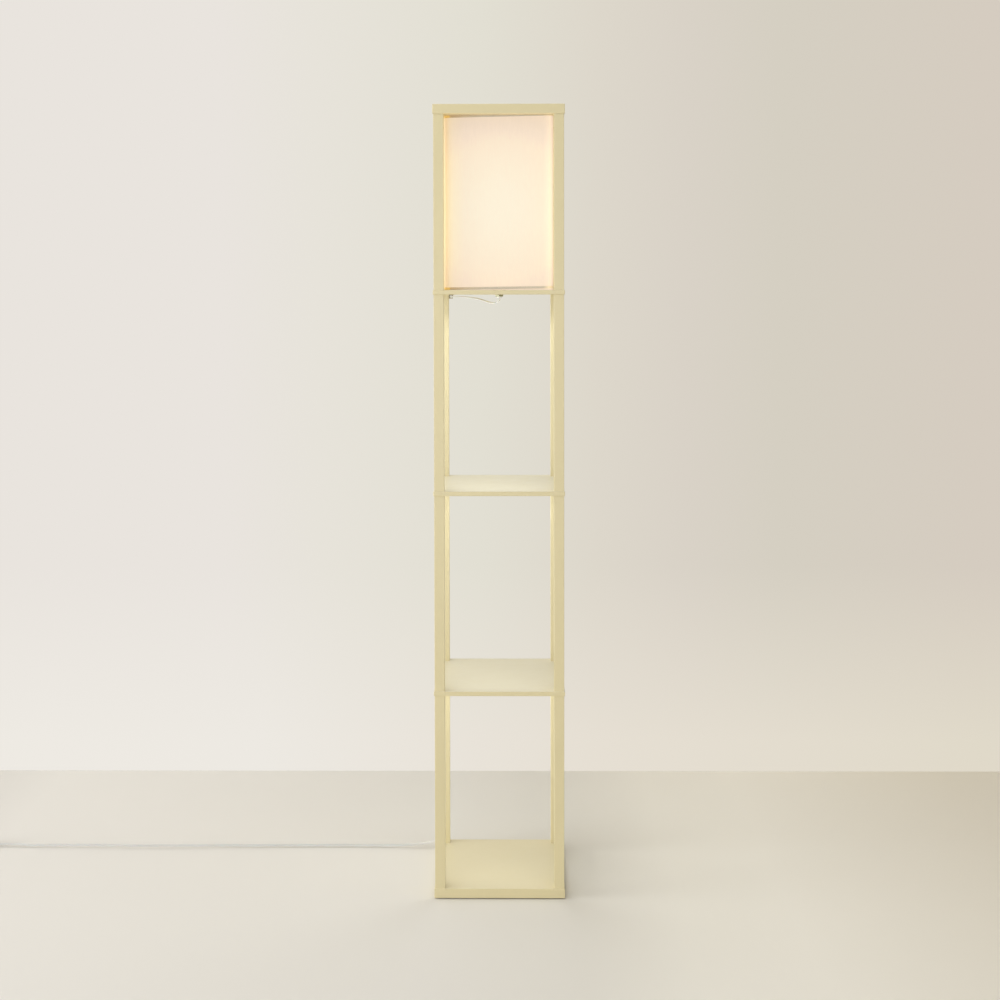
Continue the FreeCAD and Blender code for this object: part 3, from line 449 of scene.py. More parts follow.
def metal(name, colour, roughness, stretch=EVEN):
    """Plated or turned metal: fine tool marks along one way, patchy dulling."""
    made, tree, shader = recipe(name, Metallic=1.0)
    mottled(tree, shader, colour, 0.06, 180.0)
    patchy(tree, shader, 90.0, 4.0, roughness - 0.07, roughness + 0.12)
    bumped(tree, shader, speckle(tree, 700.0, 3.0, stretch), 0.1, 0.08 * MM)
    return made


def threaded(name, colour, roughness, pitch):
    """Rolled metal thread, for screws and studs along Z."""
    made, tree, shader = recipe(name, Metallic=1.0)
    mottled(tree, shader, colour, 0.08, 150.0)
    patchy(tree, shader, 90.0, 3.0, roughness - 0.06, roughness + 0.1)
    crest = maths(tree, "PINGPONG", height_on(tree), pitch / 2)
    bumped(tree, shader, maths(tree, "MULTIPLY", crest, 2 / pitch), 0.8, 0.4 * MM)
    return made


def fibrous(name, colour, scale):
    """Felt or foam: strong mottling and a rough, open face."""
    made, tree, shader = recipe(name, Roughness=0.95, Sheen_Weight=0.3)
    mottled(tree, shader, colour, 0.16, scale, 5.0)
    bumped(tree, shader, speckle(tree, scale * 1.6, 5.0), 0.6, 0.4 * MM)
    return made


def opal_glass():
    """The bulb's lit globe, warmer towards its neck."""
    made, tree, shader = recipe("opal_glass", Roughness=0.35, Emission_Strength=0.5,
                                Subsurface_Weight=0.1)
    mottled(tree, shader, srgb(238, 232, 218), 0.01, 30.0)
    drive(shader, "Emission Color", ramp(tree, scaled(tree, height_on(tree), *GLOBE_HEIGHTS),
                                         (0.0, srgb(255, 226, 170)), (1.0, srgb(255, 240, 206))))
    bumped(tree, shader, speckle(tree, 500.0), 0.05, 0.1 * MM)
    return made


FINISH = {
    "post": painted_wood("painted_post", (1.0, 1.0, GRAIN_STRETCH)),
    "board": painted_wood("painted_board", (GRAIN_STRETCH, 1.0, 1.0)),
    "cloth": shade_cloth(),
    "hem": hem_tape(),
    "cord": cord_jacket(),
    "white_plastic": moulded("white_plastic", srgb(232, 230, 224), 0.40, Coat_Weight=0.1),
    "switch_plastic": moulded("switch_plastic", srgb(234, 232, 226), 0.46, strength=0.2),
    "button_plastic": moulded("button_plastic", srgb(222, 220, 214), 0.38),
    "porcelain": moulded("porcelain", srgb(238, 234, 224), 0.22, 0.01, 300.0, 0.04,
                         Coat_Weight=0.6),
    "black_glass": moulded("black_glass", srgb(28, 26, 26), 0.18, 0.05, 400.0, 0.05),
    "tie_plastic": moulded("tie_plastic", srgb(60, 60, 62), 0.5, 0.04, 1400.0, 0.3),
    "nut": metal("nickelled_brass", srgb(186, 186, 156), 0.38, (1.0, 1.0, 6.0)),
    # The clips' tan is partly their own colour and partly painted shade, darkened for the clip in
    # the shade under the lamp shelf.
    "clip_plastic_painted_shade": moulded("clip_plastic_painted_shade", srgb(162, 150, 117), 0.42, 0.03),
    "washer": metal("plated_washer", srgb(176, 172, 156), 0.36),
    "nickel": metal("nickel", srgb(205, 200, 190), 0.26, (6.0, 6.0, 1.0)),
    "brass": metal("brass", srgb(206, 174, 110), 0.30, (1.0, 1.0, 5.0)),
    "steel": metal("steel_tube", srgb(188, 186, 182), 0.34, (6.0, 6.0, 0.4)),
    "zinc": metal("zinc", srgb(196, 198, 200), 0.40),
    "zinc_thread": threaded("zinc_thread", srgb(190, 192, 194), 0.38, SCREW_PITCH),
    "white_wire": moulded("white_wire", srgb(236, 232, 222), 0.34, 0.02, 700.0, 0.15,
                          Coat_Weight=0.3),
    "felt": fibrous("felt", srgb(92, 86, 78), 1500.0),
    "foam": fibrous("foam_tape", srgb(206, 200, 176), 2600.0),
    "opal": opal_glass(),
}

NODE_FINISH = {
    "base_board": "board", "lower_shelf": "board", "middle_shelf": "board",
    "lamp_shelf": "board", "top_board": "board",
    "threaded_inserts": "zinc_thread", "joint_studs": "zinc_thread", "base_screws": "zinc",
    "base_washers": "washer", "foot_pads": "felt", "shade_top_wire": "white_wire",
    "shade_fitter": "white_wire", "lamp_stem": "steel", "seat_washer": "washer",
    "stem_spacer": "white_plastic", "under_washer": "washer", "shelf_nut": "nut",
    "cord_bushing": "white_plastic", "stem_lead": "cord", "holder_cap": "porcelain",
    "holder_insulator": "porcelain", "holder_collar": "porcelain",
    "holder_screw_shell": "brass", "holder_contact": "brass", "bulb_contact": "nickel",
    "bulb_insulator": "black_glass", "bulb_screw_cap": "nickel", "bulb_housing": "white_plastic",
    "bulb_globe": "opal", "cord_tie": "tie_plastic", "cord_clips": "clip_plastic_painted_shade",
    "clip_tapes": "foam", "switch_lower_shell": "switch_plastic",
    "switch_upper_shell": "switch_plastic", "switch_button": "button_plastic",
    "switch_contact_block": "porcelain", "switch_reliefs": "switch_plastic",
    "plug_body": "white_plastic", "plug_blades": "nickel",
}


def dress_nodes():
    """Gives each piece imported from model.glb its finish."""
    for name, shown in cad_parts.items():
        finish = NODE_FINISH.get(name)
        if "_post_" in name:
            finish = "post"
        if finish:
            for slot in shown.material_slots:
                slot.material = FINISH[finish]


# ---------------------------------------------------------------- cords

LEAD_WIDTH = 5.2 * MM
LOBE = LEAD_WIDTH / 4

# The rest of this section is in millimetres, up to the swept leads themselves.
LEAD_EXIT = (0, 0, 1195.5)
SHELF = 1203.0
HELD = SHELF - 5.0
RISER_X = -118.5
RISER_Y = 133.3
CLIP_PITCH = 234.0
CLIP_HEIGHTS = [1096.0 - CLIP_PITCH * step for step in range(5)]
SWAY = (2.6, -3.0, 3.4, -2.2)
HALF_RUN = 26.0
CLIP_THIRD = (CLIP_PITCH - 2 * HALF_RUN) / 3
SWITCH_X = -1152.0
SWITCH_Y = 136.0
SWITCH_ENTRY = 7.0
SWITCH_HALF = 52.0
PLUG_BACK = 34.8
PLUG_X = -1243.6
PLUG_LEVEL = 8.5


def lamp_route():
    """From the bushing, along under the lamp shelf, down behind a post and over the floor.

    Between the clips the lead sways a little from side to side and away from the post.
    """
    points = [LEAD_EXIT, (0, 0, 1190), (-4, 2.4, SHELF - 16.6), (-15, 8.6, SHELF - 18.4),
              (-29, 18.5, SHELF - 14.2), (-42, 31, SHELF - 9.8), (-58, 48, SHELF - 7.1),
              (-76, 68, SHELF - 5.6), (-92, 88, SHELF - 5.2), (-103.5, 104, HELD),
              (-104.5, 128, HELD), (-106.5, 143, SHELF - 6.2), (-113.5, 154, SHELF - 12),
              (-119.5, 158, SHELF - 24.5), (-121.5, 153.5, SHELF - 40), (-120.3, 144, SHELF - 57)]
    for height, aside in zip(CLIP_HEIGHTS, SWAY):
        below = height - HALF_RUN
        points += [(RISER_X, RISER_Y, height + HALF_RUN), (RISER_X, RISER_Y, below),
                   (RISER_X + aside, RISER_Y + 2.2, below - CLIP_THIRD),
                   (RISER_X + aside / 2, RISER_Y + 3.4, below - 2 * CLIP_THIRD)]
    lowest = CLIP_HEIGHTS[-1]
    points += [(RISER_X, RISER_Y, lowest + HALF_RUN), (RISER_X, RISER_Y, lowest - HALF_RUN),
               (RISER_X - 0.5, RISER_Y + 1, 68), (RISER_X - 4, RISER_Y + 3, 36),
               (RISER_X - 17, RISER_Y + 5.5, 15.5), (-164, 131.1, 11.7), (-196, 131, 8),
               (-240, 134.9, 5.5), (-300, 137, 5.2), (-372, 136.3, 5.1), (-446, 135.4, 5.3),
               (-520, 132.7, 5.9), (-592, 131, 6.7), (-664, 128.2, 7.4), (-738, 126.5, 7.7),
               (-810, 126.4, 7.9), (-880, 128.9, 7.5), (-948, 130.4, 6.9), (-1008, 129.2, 6.8),
               (-1052, 135.4, 6.6), (-1080, SWITCH_Y, SWITCH_ENTRY),
               (SWITCH_X + SWITCH_HALF, SWITCH_Y, SWITCH_ENTRY)]
    return [mm(*point) for point in points]


COIL = Vector((-1207.3, 70.0, 0.0))
# The radius and height at each half turn.
COIL_TURNS = ((33.3, 3.5), (30.3, 3.5), (27.3, 3.5), (24.3, 3.5), (21.3, 9.4), (27.3, 9.4),
              (30.3, 9.4), (33.3, 9.4), (36.3, 9.4))
POINTS_PER_HALF_TURN = 7
COIL_SETTLE = 0.8


def coil_route():
    """The coil's turns, as corners that the smooth line keeps just inside of."""
    points = []
    step = math.pi / POINTS_PER_HALF_TURN
    last = (len(COIL_TURNS) - 1) * POINTS_PER_HALF_TURN
    for index in range(1, last):
        half, part = divmod(index, POINTS_PER_HALF_TURN)
        share = part / POINTS_PER_HALF_TURN
        (near, low), (far, high) = COIL_TURNS[half], COIL_TURNS[half + 1]
        radius = (near + (far - near) * share) / math.cos(step / 2)
        angle = math.pi + step * index
        height = low + (high - low) * share - COIL_SETTLE * (1 - math.cos(angle)) / 2
        points.append(COIL + Vector((radius * math.cos(angle), radius * math.sin(angle), height)))
    return points


def plug_route():
    """From the switch round into the coil, and out of its last turn to the plug."""
    edge = COIL.x - COIL_TURNS[0][0]
    out = COIL.x - COIL_TURNS[-1][0]
    entering = [(SWITCH_X - SWITCH_HALF, SWITCH_Y, SWITCH_ENTRY), (-1219.5, SWITCH_Y, SWITCH_ENTRY),
                (edge + 7.6, SWITCH_Y - 7.8, 6.0), (edge, SWITCH_Y - 21.4, 4.4),
                (edge, 88.0, 3.0), (edge, 76.0, 2.8)]
    leaving = [(out, 66.0, 8.6), (out, 55.0, 8.6), (out, 45.0, 8.5),
               (out, PLUG_BACK, PLUG_LEVEL)]
    return [mm(*point) for point in [*entering, *coil_route(), *leaving]]


def smooth_line(points, fineness):
    """Points along the NURBS spline whose control points are the route's points."""
    route = bpy.data.curves.new("route", "CURVE")
    route.dimensions = "3D"
    spline = route.splines.new("NURBS")
    spline.points.add(len(points) - 1)
    for control, point in zip(spline.points, points):
        control.co = (*point, 1.0)
    spline.order_u = 3
    spline.use_endpoint_u = True
    spline.resolution_u = fineness
    holder = bpy.data.objects.new("route", route)
    bpy.context.scene.collection.objects.link(holder)
    bpy.context.view_layer.update()
    line = bpy.data.meshes.new_from_object(holder)
    found = [vertex.co.copy() for vertex in line.vertices]
    bpy.data.meshes.remove(line)
    bpy.data.objects.remove(holder)
    bpy.data.curves.remove(route)
    return found


def broad_ways(line, facing):
    """For each point of a line, the way that the flat lead's broad side runs.

    facing is a list of (point, way); between those places the lead twists evenly.
    """
    reached = [0.0]
    for first, second in zip(line, line[1:]):
        reached.append(reached[-1] + (second - first).length)
    marks = []
    for point, way in facing:
        nearest = min(range(len(line)), key=lambda index: (line[index] - point).length_squared)
        marks.append((reached[nearest], Vector(way).normalized()))
    ways = []
    for along in reached:
        before = max((mark for mark in marks if mark[0] <= along), key=lambda mark: mark[0],
                     default=marks[0])
        after = min((mark for mark in marks if mark[0] > along), key=lambda mark: mark[0],
                    default=marks[-1])
        span = after[0] - before[0]
        share = (along - before[0]) / span if span > 0 else 0.0
        ways.append(before[1].lerp(after[1], max(0.0, min(1.0, share))))
    return ways


LOBE_ANGLES = [math.radians(angle) for angle in evenly(-152, 152, 10)]
ALONG_X, ALONG_Y, UPWARD = (1, 0, 0), (0, 1, 0), (0, 0, 1)
SLANTED, ON_EDGE = (0.68, 0.68, 0.25), (0, 0.4, 1)


def flat_lead(name, line, facing):
    """Twin flat lead: two round lobes side by side, joined by a web, swept along the line."""
    section = [(LOBE + LOBE * math.cos(angle), LOBE * math.sin(angle)) for angle in LOBE_ANGLES]
    section += [(-across, -up) for across, up in section]
    ways = broad_ways(line, facing)
    rings = []
    for index, centre in enumerate(line):
        ahead = line[min(index + 1, len(line) - 1)] - line[max(index - 1, 0)]
        ahead.normalize()
        broad = ways[index] - ahead * ways[index].dot(ahead)
        broad.normalize()
        thin = ahead.cross(broad)
        rings.append([centre + broad * across + thin * up for across, up in section])
    return loft(name, rings, FINISH["cord"])


def make_cords():
    """The two visible leads, each with the line it follows."""
    route = lamp_route()
    lamp_line = smooth_line(route, 14)
    facing = [(route[0], (0.9, 0.45, 0)), (route[2], (0.7, 0.55, 0.35)), (route[4], SLANTED),
              (route[5], SLANTED), (route[8], (0.78, 0.62, 0)), (route[9], ALONG_X),
              (route[11], ALONG_X), (route[15], ALONG_X)]
    facing += [(mm(RISER_X, RISER_Y, height), ALONG_X) for height in (*CLIP_HEIGHTS, 110.0)]
    facing += [(mm(RISER_X - 3, RISER_Y + 2, 45.0), ALONG_Y), (mm(-196, 142, 8), ON_EDGE),
               (mm(-1000, 133, 6), ON_EDGE), (route[-1], ALONG_Y)]
    lamp_lead = flat_lead("lamp_lead", lamp_line, facing)
    finish_piece(lamp_lead, "cord_plastic", "cord_lamp_run")

    route = plug_route()
    plug_line = smooth_line(route, 8)
    facing = [(route[0], ALONG_Y), (route[1], ALONG_Y), (route[4], UPWARD), (route[-5], UPWARD),
              (route[-1], ALONG_X)]
    plug_lead = flat_lead("plug_lead", plug_line, facing)
    finish_piece(plug_lead, "cord_plastic", "cord_switch_run", "cord_coil", "cord_plug_run")
    return (lamp_lead, lamp_line), (plug_lead, plug_line)


# ---------------------------------------------------------------- foot switch and plug

RELIEF_LENGTH = 21 * MM
RELIEF_RIBS = 5
RELIEF_SEGMENTS = 40
SHELL_END = 34.0
# The bevel at a relief's tip, and the hair's breadth that its profile keeps from its axis.
NARROW = 0.3 * MM
# (radius, height) in millimetres, of the button's side and of the rings pressed into its top.
BUTTON_SIDE = ((0.0001, 16.2), (12.5, 16.2), (12.5, 17.7), (11, 17.7), (11, 22.8), (10.7, 23.9),
               (10.0, 24.7), (9.2, 25.0))
BUTTON_TOP = 25.0
BUTTON_RINGS = (8.2, 6.4, 4.6, 2.8)
# (distance from the relief's root, half width, half height) in millimetres.
PLUG_NECK = ((20.0, 7.0, 6.0), (20.6, 8.6, 7.0), (22.0, 9.6, 7.7), (25.0, 9.9, 7.9))
PLUG_HEAD = ((37.6, 12.2, 8.4), (39.0, 12.5, 8.5), (44.6, 12.5, 8.5), (45.6, 12.1, 8.1),
             (46.0, 11.4, 7.4))
PLUG_CORNER = 4.5


def sideways(x, y, z, towards):
    """A place at x, y, z in millimetres whose Z looks along a level direction."""
    turn = Vector(towards).to_track_quat("Z", "Y").to_matrix().to_4x4()
    return Matrix.Translation(mm(x, y, z)) @ turn


def strain_relief(name, root, tip, material, place):
    """A flexible taper from root to tip radius, with grooves cut round it."""
    profile = [(NARROW, 0.0), (root, 0.0)]
    pitch = RELIEF_LENGTH / (RELIEF_RIBS + 1)
    for rib in range(RELIEF_RIBS):
        middle = pitch * (rib + 1)
        for offset, depth in ((-0.30, 0.0), (-0.22, 0.75), (0.22, 0.75), (0.30, 0.0)):
            height = middle + offset * pitch
            radius = root + (tip - root) * height / RELIEF_LENGTH - depth * MM
            profile.append((radius, height))
    profile += [(tip, RELIEF_LENGTH - NARROW), (tip - NARROW, RELIEF_LENGTH),
                (NARROW, RELIEF_LENGTH)]
    return lathe(name, profile, material, place, RELIEF_SEGMENTS)


def rounded_ring(place, half_width, half_height, corner, height):
    """A rectangle with rounded corners, level in the place's XY."""
    ring = []
    for quarter, (sign_x, sign_y) in enumerate(QUARTERS):
        for share in evenly(0.0, 1.0, 7):
            angle = math.pi / 2 * (quarter + share)
            ring.append(place @ Vector((
                sign_x * (half_width - corner) + corner * math.cos(angle),
                sign_y * (half_height - corner) + corner * math.sin(angle), height)))
    return ring


def make_switch_trim():
    """Ribbed strain reliefs and the ringed press button of the foot switch."""
    pieces = []
    for side, name in ((1, "relief_lamp_side"), (-1, "relief_plug_side")):
        place = sideways(SWITCH_X + side * SHELL_END, SWITCH_Y, SWITCH_ENTRY, (side, 0, 0))
        relief = strain_relief(name, 6 * MM, 3.5 * MM, FINISH["switch_plastic"], place)
        finish_piece(relief, "cord_plastic", "switch_reliefs")
        pieces.append(relief)
    profile = list(BUTTON_SIDE)
    for ring in BUTTON_RINGS:
        profile += [(ring + 0.5, BUTTON_TOP), (ring + 0.3, BUTTON_TOP - 0.4),
                    (ring - 0.3, BUTTON_TOP - 0.4), (ring - 0.5, BUTTON_TOP)]
    profile.append((BUTTON_SIDE[0][0], BUTTON_TOP))
    button = lathe("press_button", [(radius * MM, height * MM) for radius, height in profile],
                   FINISH["button_plastic"], Matrix.Translation(mm(SWITCH_X, SWITCH_Y, 0.0)), 72)
    finish_piece(button, "button_plastic", "switch_button", body=BUTTON)
    return pieces


def make_plug():
    """A two-pin plug: waisted grip with finger ribs, running into a ribbed relief."""
    place = sideways(PLUG_X, PLUG_BACK, PLUG_LEVEL, (0, -1, 0))
    relief = strain_relief("plug_relief", 3.3 * MM, 6.3 * MM, FINISH["white_plastic"], place)
    finish_piece(relief, "cord_plastic")
    stations = list(PLUG_NECK)
    for rib in range(4):
        start = 26.2 + 2.6 * rib
        waist = 10.1 + 0.35 * rib
        stations += [(start, waist, 7.9), (start + 0.4, waist - 0.6, 7.4),
                     (start + 1.2, waist - 0.6, 7.4), (start + 1.6, waist + 0.1, 7.9)]
    rings = [rounded_ring(place, width * MM, height * MM, min(PLUG_CORNER, height - 1.5) * MM,
                          at * MM)
             for at, width, height in (*stations, *PLUG_HEAD)]
    body = loft("plug_grip", rings, FINISH["white_plastic"])
    finish_piece(body, "cord_plastic", "plug_body")
    return relief, body


# ---------------------------------------------------------------- cloth shade

SHADE_HALF = 108.0 * MM
SHADE_BOTTOM = 1212.4 * MM
SHADE_TOP = 1557.0 * MM
SHADE_CORNER = 10.0 * MM
CLOTH = 0.7 * MM
SHADE_ROWS = 60
SIDE_STEPS = 44
CORNER_STEPS = 8
HEM_SLOPE = 0.0150
HEM_LOW = 4.9 * MM
HEM_HIGH = 5.0 * MM
HEM_FOLD = 0.22 * MM
HEM_GAP = 0.02 * MM
OVERLAP_LEFT = 82.0 * MM
OVERLAP_RIGHT = 94.0 * MM
# How far the cloth bows in, in millimetres, and how that changes over the cloth.
BOW = 0.35
RIPPLE = 0.45
RIPPLE_SCALE = 14.0


def shade_outline(inset):
    """The shade's plan, counterclockwise, set in from the cloth's outer face."""
    half = SHADE_HALF - inset
    corner = max(SHADE_CORNER - inset, 0.5 * MM)
    straight = half - corner
    plan = []
    for quarter, (sign_x, sign_y) in enumerate(QUARTERS):
        centre = Vector((sign_x * straight, sign_y * straight))
        for share in evenly(0.0, 1.0, CORNER_STEPS):
            angle = math.pi / 2 * (quarter + share)
            plan.append(centre + corner * Vector((math.cos(angle), math.sin(angle))))
        after = math.pi / 2 * (quarter + 1)
        way = Vector((-math.sin(after), math.cos(after)))
        for step in range(1, SIDE_STEPS):
            plan.append(plan[-step] + way * (2 * straight * step / SIDE_STEPS))
    return plan


def settle(spot, askew=0.0):
    """Bows the cloth in by fractions of a millimetre; askew lifts it to the right, in front."""
    share = (spot.z - SHADE_BOTTOM) / (SHADE_TOP - SHADE_BOTTOM)
    frontal = max(0.0, min(1.0, 0.5 - spot.y / (2 * SHADE_HALF)))
    lift = askew * max(0.0, spot.x + SHADE_HALF - SHADE_CORNER) * frontal
    slack = math.sin(math.pi * max(0.0, min(1.0, share)))
    ripple = noise.noise(Vector((spot.x, spot.y, spot.z * 0.6)) * RIPPLE_SCALE)
    inwards = (BOW + RIPPLE * ripple) * MM * slack
    flat = Vector((spot.x, spot.y, 0.0))
    return spot + Vector((0.0, 0.0, lift)) - flat.normalized() * inwards


def swept_round(name, profile, material, narrowing=0.0, askew=0.0):
    """A closed profile of (inset, rim, height above it) taken round the shade's plan.

    The heights shrink from the left side to the right by the share that narrowing gives.
    """
    rings = []
    for inset, rim, height in profile:
        ring = []
        for spot in shade_outline(inset):
            full = 1 - narrowing * (0.5 + spot.x / (2 * SHADE_HALF))
            ring.append(settle(Vector((spot.x, spot.y, rim + height * full)), askew))
        rings.append(ring)
    return loft(name, rings, material, True)


def make_shade():
    """The cloth, a folded tape along each rim, and the glued overlap."""
    heights = evenly(SHADE_BOTTOM, SHADE_TOP, SHADE_ROWS)
    profile = [(0.0, height, 0.0) for height in heights]
    profile += [(CLOTH, height, 0.0) for height in reversed(heights)]
    cloth = swept_round("cloth_shade", profile, FINISH["cloth"])
    finish_piece(cloth, "shade_cloth", "shade_skin")
    for name, rim, height, narrowing, askew in (
            ("hem_bottom", SHADE_BOTTOM, HEM_LOW, 0.1, HEM_SLOPE),
            ("hem_top", SHADE_TOP, -HEM_HIGH, 0.85, 0.0)):
        edge = rim - math.copysign(HEM_FOLD / 2, height)
        seam = rim - math.copysign(HEM_GAP, height)
        profile = [(-HEM_FOLD, rim, height), (-HEM_FOLD, rim, 0.0), (-HEM_FOLD / 2, edge, 0.0),
                   (CLOTH + HEM_FOLD / 2, edge, 0.0), (CLOTH + HEM_FOLD, rim, 0.0),
                   (CLOTH + HEM_FOLD, rim, height), (CLOTH + HEM_GAP, rim, height),
                   (CLOTH + HEM_GAP, seam, 0.0), (-HEM_GAP, seam, 0.0), (-HEM_GAP, rim, height)]
        hem = swept_round(name, profile, FINISH["hem"], narrowing, askew)
        finish_piece(hem, "shade_cloth")
    overlap = make_overlap()


def make_overlap():
    """The cloth's glued overlap, a second thickness up the rear side near the right corner."""
    bevel = 0.4 * MM
    section = ((OVERLAP_LEFT, -0.05), (OVERLAP_LEFT, 0.25), (OVERLAP_LEFT + bevel, 0.37),
               (OVERLAP_RIGHT - bevel, 0.37), (OVERLAP_RIGHT, 0.25), (OVERLAP_RIGHT, -0.05))
    rings = [[settle(Vector((x, SHADE_HALF + proud * MM, height))) for x, proud in section]
             for height in evenly(SHADE_BOTTOM + HEM_LOW, SHADE_TOP - HEM_HIGH, SHADE_ROWS)]
    piece = loft("cloth_overlap", rings, FINISH["cloth"])
    return finish_piece(piece, "shade_cloth")


# ---------------------------------------------------------------- fittings

NUT_FLATS = 16 * MM
NUT_BORE = 5.2 * MM
NUT_LOW = 1198.5 * MM
NUT_HIGH = 1202.0 * MM
BUSHING_LOW = 1195.5 * MM
EDISON_PITCH = 3.6 * MM
COLLAR_BORE = 14.3 * MM
COLLAR_RIM = 17.4 * MM
COLLAR_WALL = 16.0 * MM
COLLAR_RIBS = 24


def hexagonal(across_flats, chamfer):
    """A warp that turns a round profile into a hexagon, its corners chamfered by the profile."""
    def reach(angle, radius, _):
        turn = (angle + math.pi / 6) % (math.pi / 3) - math.pi / 6
        return min(radius, across_flats / 2 / math.cos(turn)) if radius > chamfer else radius
    return reach


def make_nut():
    """The plated nut under the lamp shelf, its corners chamfered on both faces."""
    corner = NUT_FLATS / math.sqrt(3)
    face = NUT_FLATS / 2 - 0.2 * MM
    chamfer = 0.8 * MM
    profile = [(NUT_BORE + 0.5 * MM, NUT_LOW), (face, NUT_LOW), (corner, NUT_LOW + chamfer),
               (corner, NUT_HIGH - chamfer), (face, NUT_HIGH), (NUT_BORE, NUT_HIGH),
               (NUT_BORE, NUT_LOW + 0.5 * MM)]
    nut = lathe("hex_nut", profile, FINISH["nut"], segments=96, closed=True,
                warp=hexagonal(NUT_FLATS, NUT_BORE + MM), smooth=28.0)
    finish_piece(nut, "brass", "shelf_nut")


def make_bushing():
    """The ribbed sleeve in the stem's end that the lead comes out of."""
    profile = [(2.9, 0.0), (3.9, 0.0), (4.3, 0.5), (4.6, 0.9), (4.4, 1.1), (4.9, 1.5), (5.2, 1.9),
               (5.0, 2.1), (5.6, 2.5), (6.0, 3.0), (2.9, 3.0)]
    profile = [(radius * MM, BUSHING_LOW + height * MM) for radius, height in profile]
    bushing = lathe("lead_bushing", profile, FINISH["white_plastic"], closed=True)
    finish_piece(bushing, "white_plastic", "cord_bushing")


def edison(depth):
    """A warp that rolls a round lamp thread into a wall."""
    def reach(angle, radius, height):
        return radius + depth * math.sin(2 * math.pi * height / EDISON_PITCH - angle)
    return reach


def ribbed(above):
    """A warp that cuts finger grooves into the collar's wall above a height."""
    def reach(angle, radius, height):
        grooved = height > above and radius > 15.9 * MM and math.cos(COLLAR_RIBS * angle) < 0
        return radius - (0.35 * MM if grooved else 0.0)
    return reach


def make_lamp_parts():
    """Rolled threads of the lamp cap and its holder, and the ribbed collar."""
    for name, stands_for, outer, inner, depth, rows, slot, body in (
            ("threaded_cap", "bulb_screw_cap", 12.75, 12.4, 0.30, 64, "nickel", BULB),
            ("threaded_shell", "holder_screw_shell", 13.85, 13.6, 0.05, 76, "brass", STAND)):
        low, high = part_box(stands_for)
        heights = evenly(low.z, high.z, rows)
        profile = [(outer * MM, height) for height in heights]
        profile += [(inner * MM, height) for height in reversed(heights)]
        wall = lathe(name, profile, FINISH[slot], segments=72, closed=True,
                     warp=edison(depth * MM))
        finish_piece(wall, slot, stands_for, body=body)
    low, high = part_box("holder_collar")
    profile = [(COLLAR_BORE, low.z), (COLLAR_RIM, low.z), (COLLAR_RIM, low.z + 2.6 * MM),
               (17.0 * MM, low.z + 3.0 * MM), (COLLAR_WALL, low.z + 3.0 * MM),
               (COLLAR_WALL, high.z - 0.8 * MM), (15.4 * MM, high.z), (14.8 * MM, high.z),
               (COLLAR_BORE, high.z - 0.5 * MM)]
    collar = lathe("ribbed_collar", profile, FINISH["porcelain"], segments=144, closed=True,
                   warp=ribbed(low.z + 4 * MM))
    finish_piece(collar, "porcelain", "holder_collar")


# ---------------------------------------------------------------- stage and lights

WALL_Y = 0.640
WALL_TOP = 6.0
STAGE_HALF = 9.0
WALL_SPAN = (-1.2, 1.2)
FLOOR_SPAN = (-3.3, 1.1)
WALL_FADE = (0.08, 0.52)

# Colours from the left end of a span to its right end. The wall fades from low to high; its
# fall-off, lighter low down and darker to the right, is painted light and shade.
WALL_HIGH = ((0.0, srgb(233, 228, 222)), (0.21, srgb(233, 228, 222)), (0.31, srgb(231, 227, 218)),
             (0.48, srgb(226, 223, 211)), (0.60, srgb(221, 215, 203)), (0.69, srgb(217, 210, 199)),
             (0.79, srgb(213, 207, 194)), (1.0, srgb(213, 204, 192)))
WALL_LOW = ((0.0, srgb(238, 234, 227)), (0.25, srgb(237, 233, 226)), (0.6, srgb(230, 223, 211)),
            (1.0, srgb(224, 217, 201)))
# The floor's ramp paints light and shade: very dark far to the left, against the low lamp's pool of
# light, lighter to the right as that lamp's light falls off, and held darker up to just right of
# the base, a painted shadow.
FLOOR = ((0.0, (0.12, 0.12, 0.12)), (0.20, (0.24, 0.236, 0.230)), (0.50, (0.742, 0.727, 0.694)),
         (0.72, (0.751, 0.735, 0.694)), (0.784, (0.765, 0.747, 0.694)),
         (0.83, (0.885, 0.864, 0.796)), (0.88, (0.935, 0.910, 0.835)),
         (1.0, (0.903, 0.860, 0.758)))


def backdrop(name, points, colour_of, lit_by_lamps):
    """A flat stage sheet; the camera sees its plain colour, or its colour under the lamps."""
    made, tree, shader = recipe(name, Roughness=0.9, Specular_IOR_Level=0.1)
    colour = colour_of(tree)
    drive(shader, "Base Color", colour)
    if not lit_by_lamps:
        rays = tree.nodes.new("ShaderNodeLightPath")
        seen = maths(tree, "MAXIMUM", rays.outputs["Is Camera Ray"],
                     maths(tree, "MAXIMUM", rays.outputs["Is Glossy Ray"],
                           rays.outputs["Is Transmission Ray"]))
        glow = node(tree, "Emission", Color=colour, Strength=1.0)
        front = node(tree, "MixShader", seen, shader.outputs[0], glow)
        clear = node(tree, "BsdfTransparent")
        behind = node(tree, "NewGeometry", out="Backfacing")
        sided = node(tree, "MixShader", behind, front, clear)
        tree.links.new(sided, tree.nodes["Material Output"].inputs["Surface"])
    new_mesh(name, points, [(0, 1, 2, 3)], made)


def along_span(tree, span):
    """How far to the right a point is, as a share of the span."""
    return scaled(tree, node(tree, "SeparateXYZ", spot_on(tree)), *span)


def painted_wall_light(tree):
    share = along_span(tree, WALL_SPAN)
    # Painted light and shade: lighter towards the floor, darker to the right.
    high = ramp(tree, share, *WALL_HIGH)
    low = ramp(tree, share, *WALL_LOW)
    return blend(tree, scaled(tree, height_on(tree), *WALL_FADE), low, high)


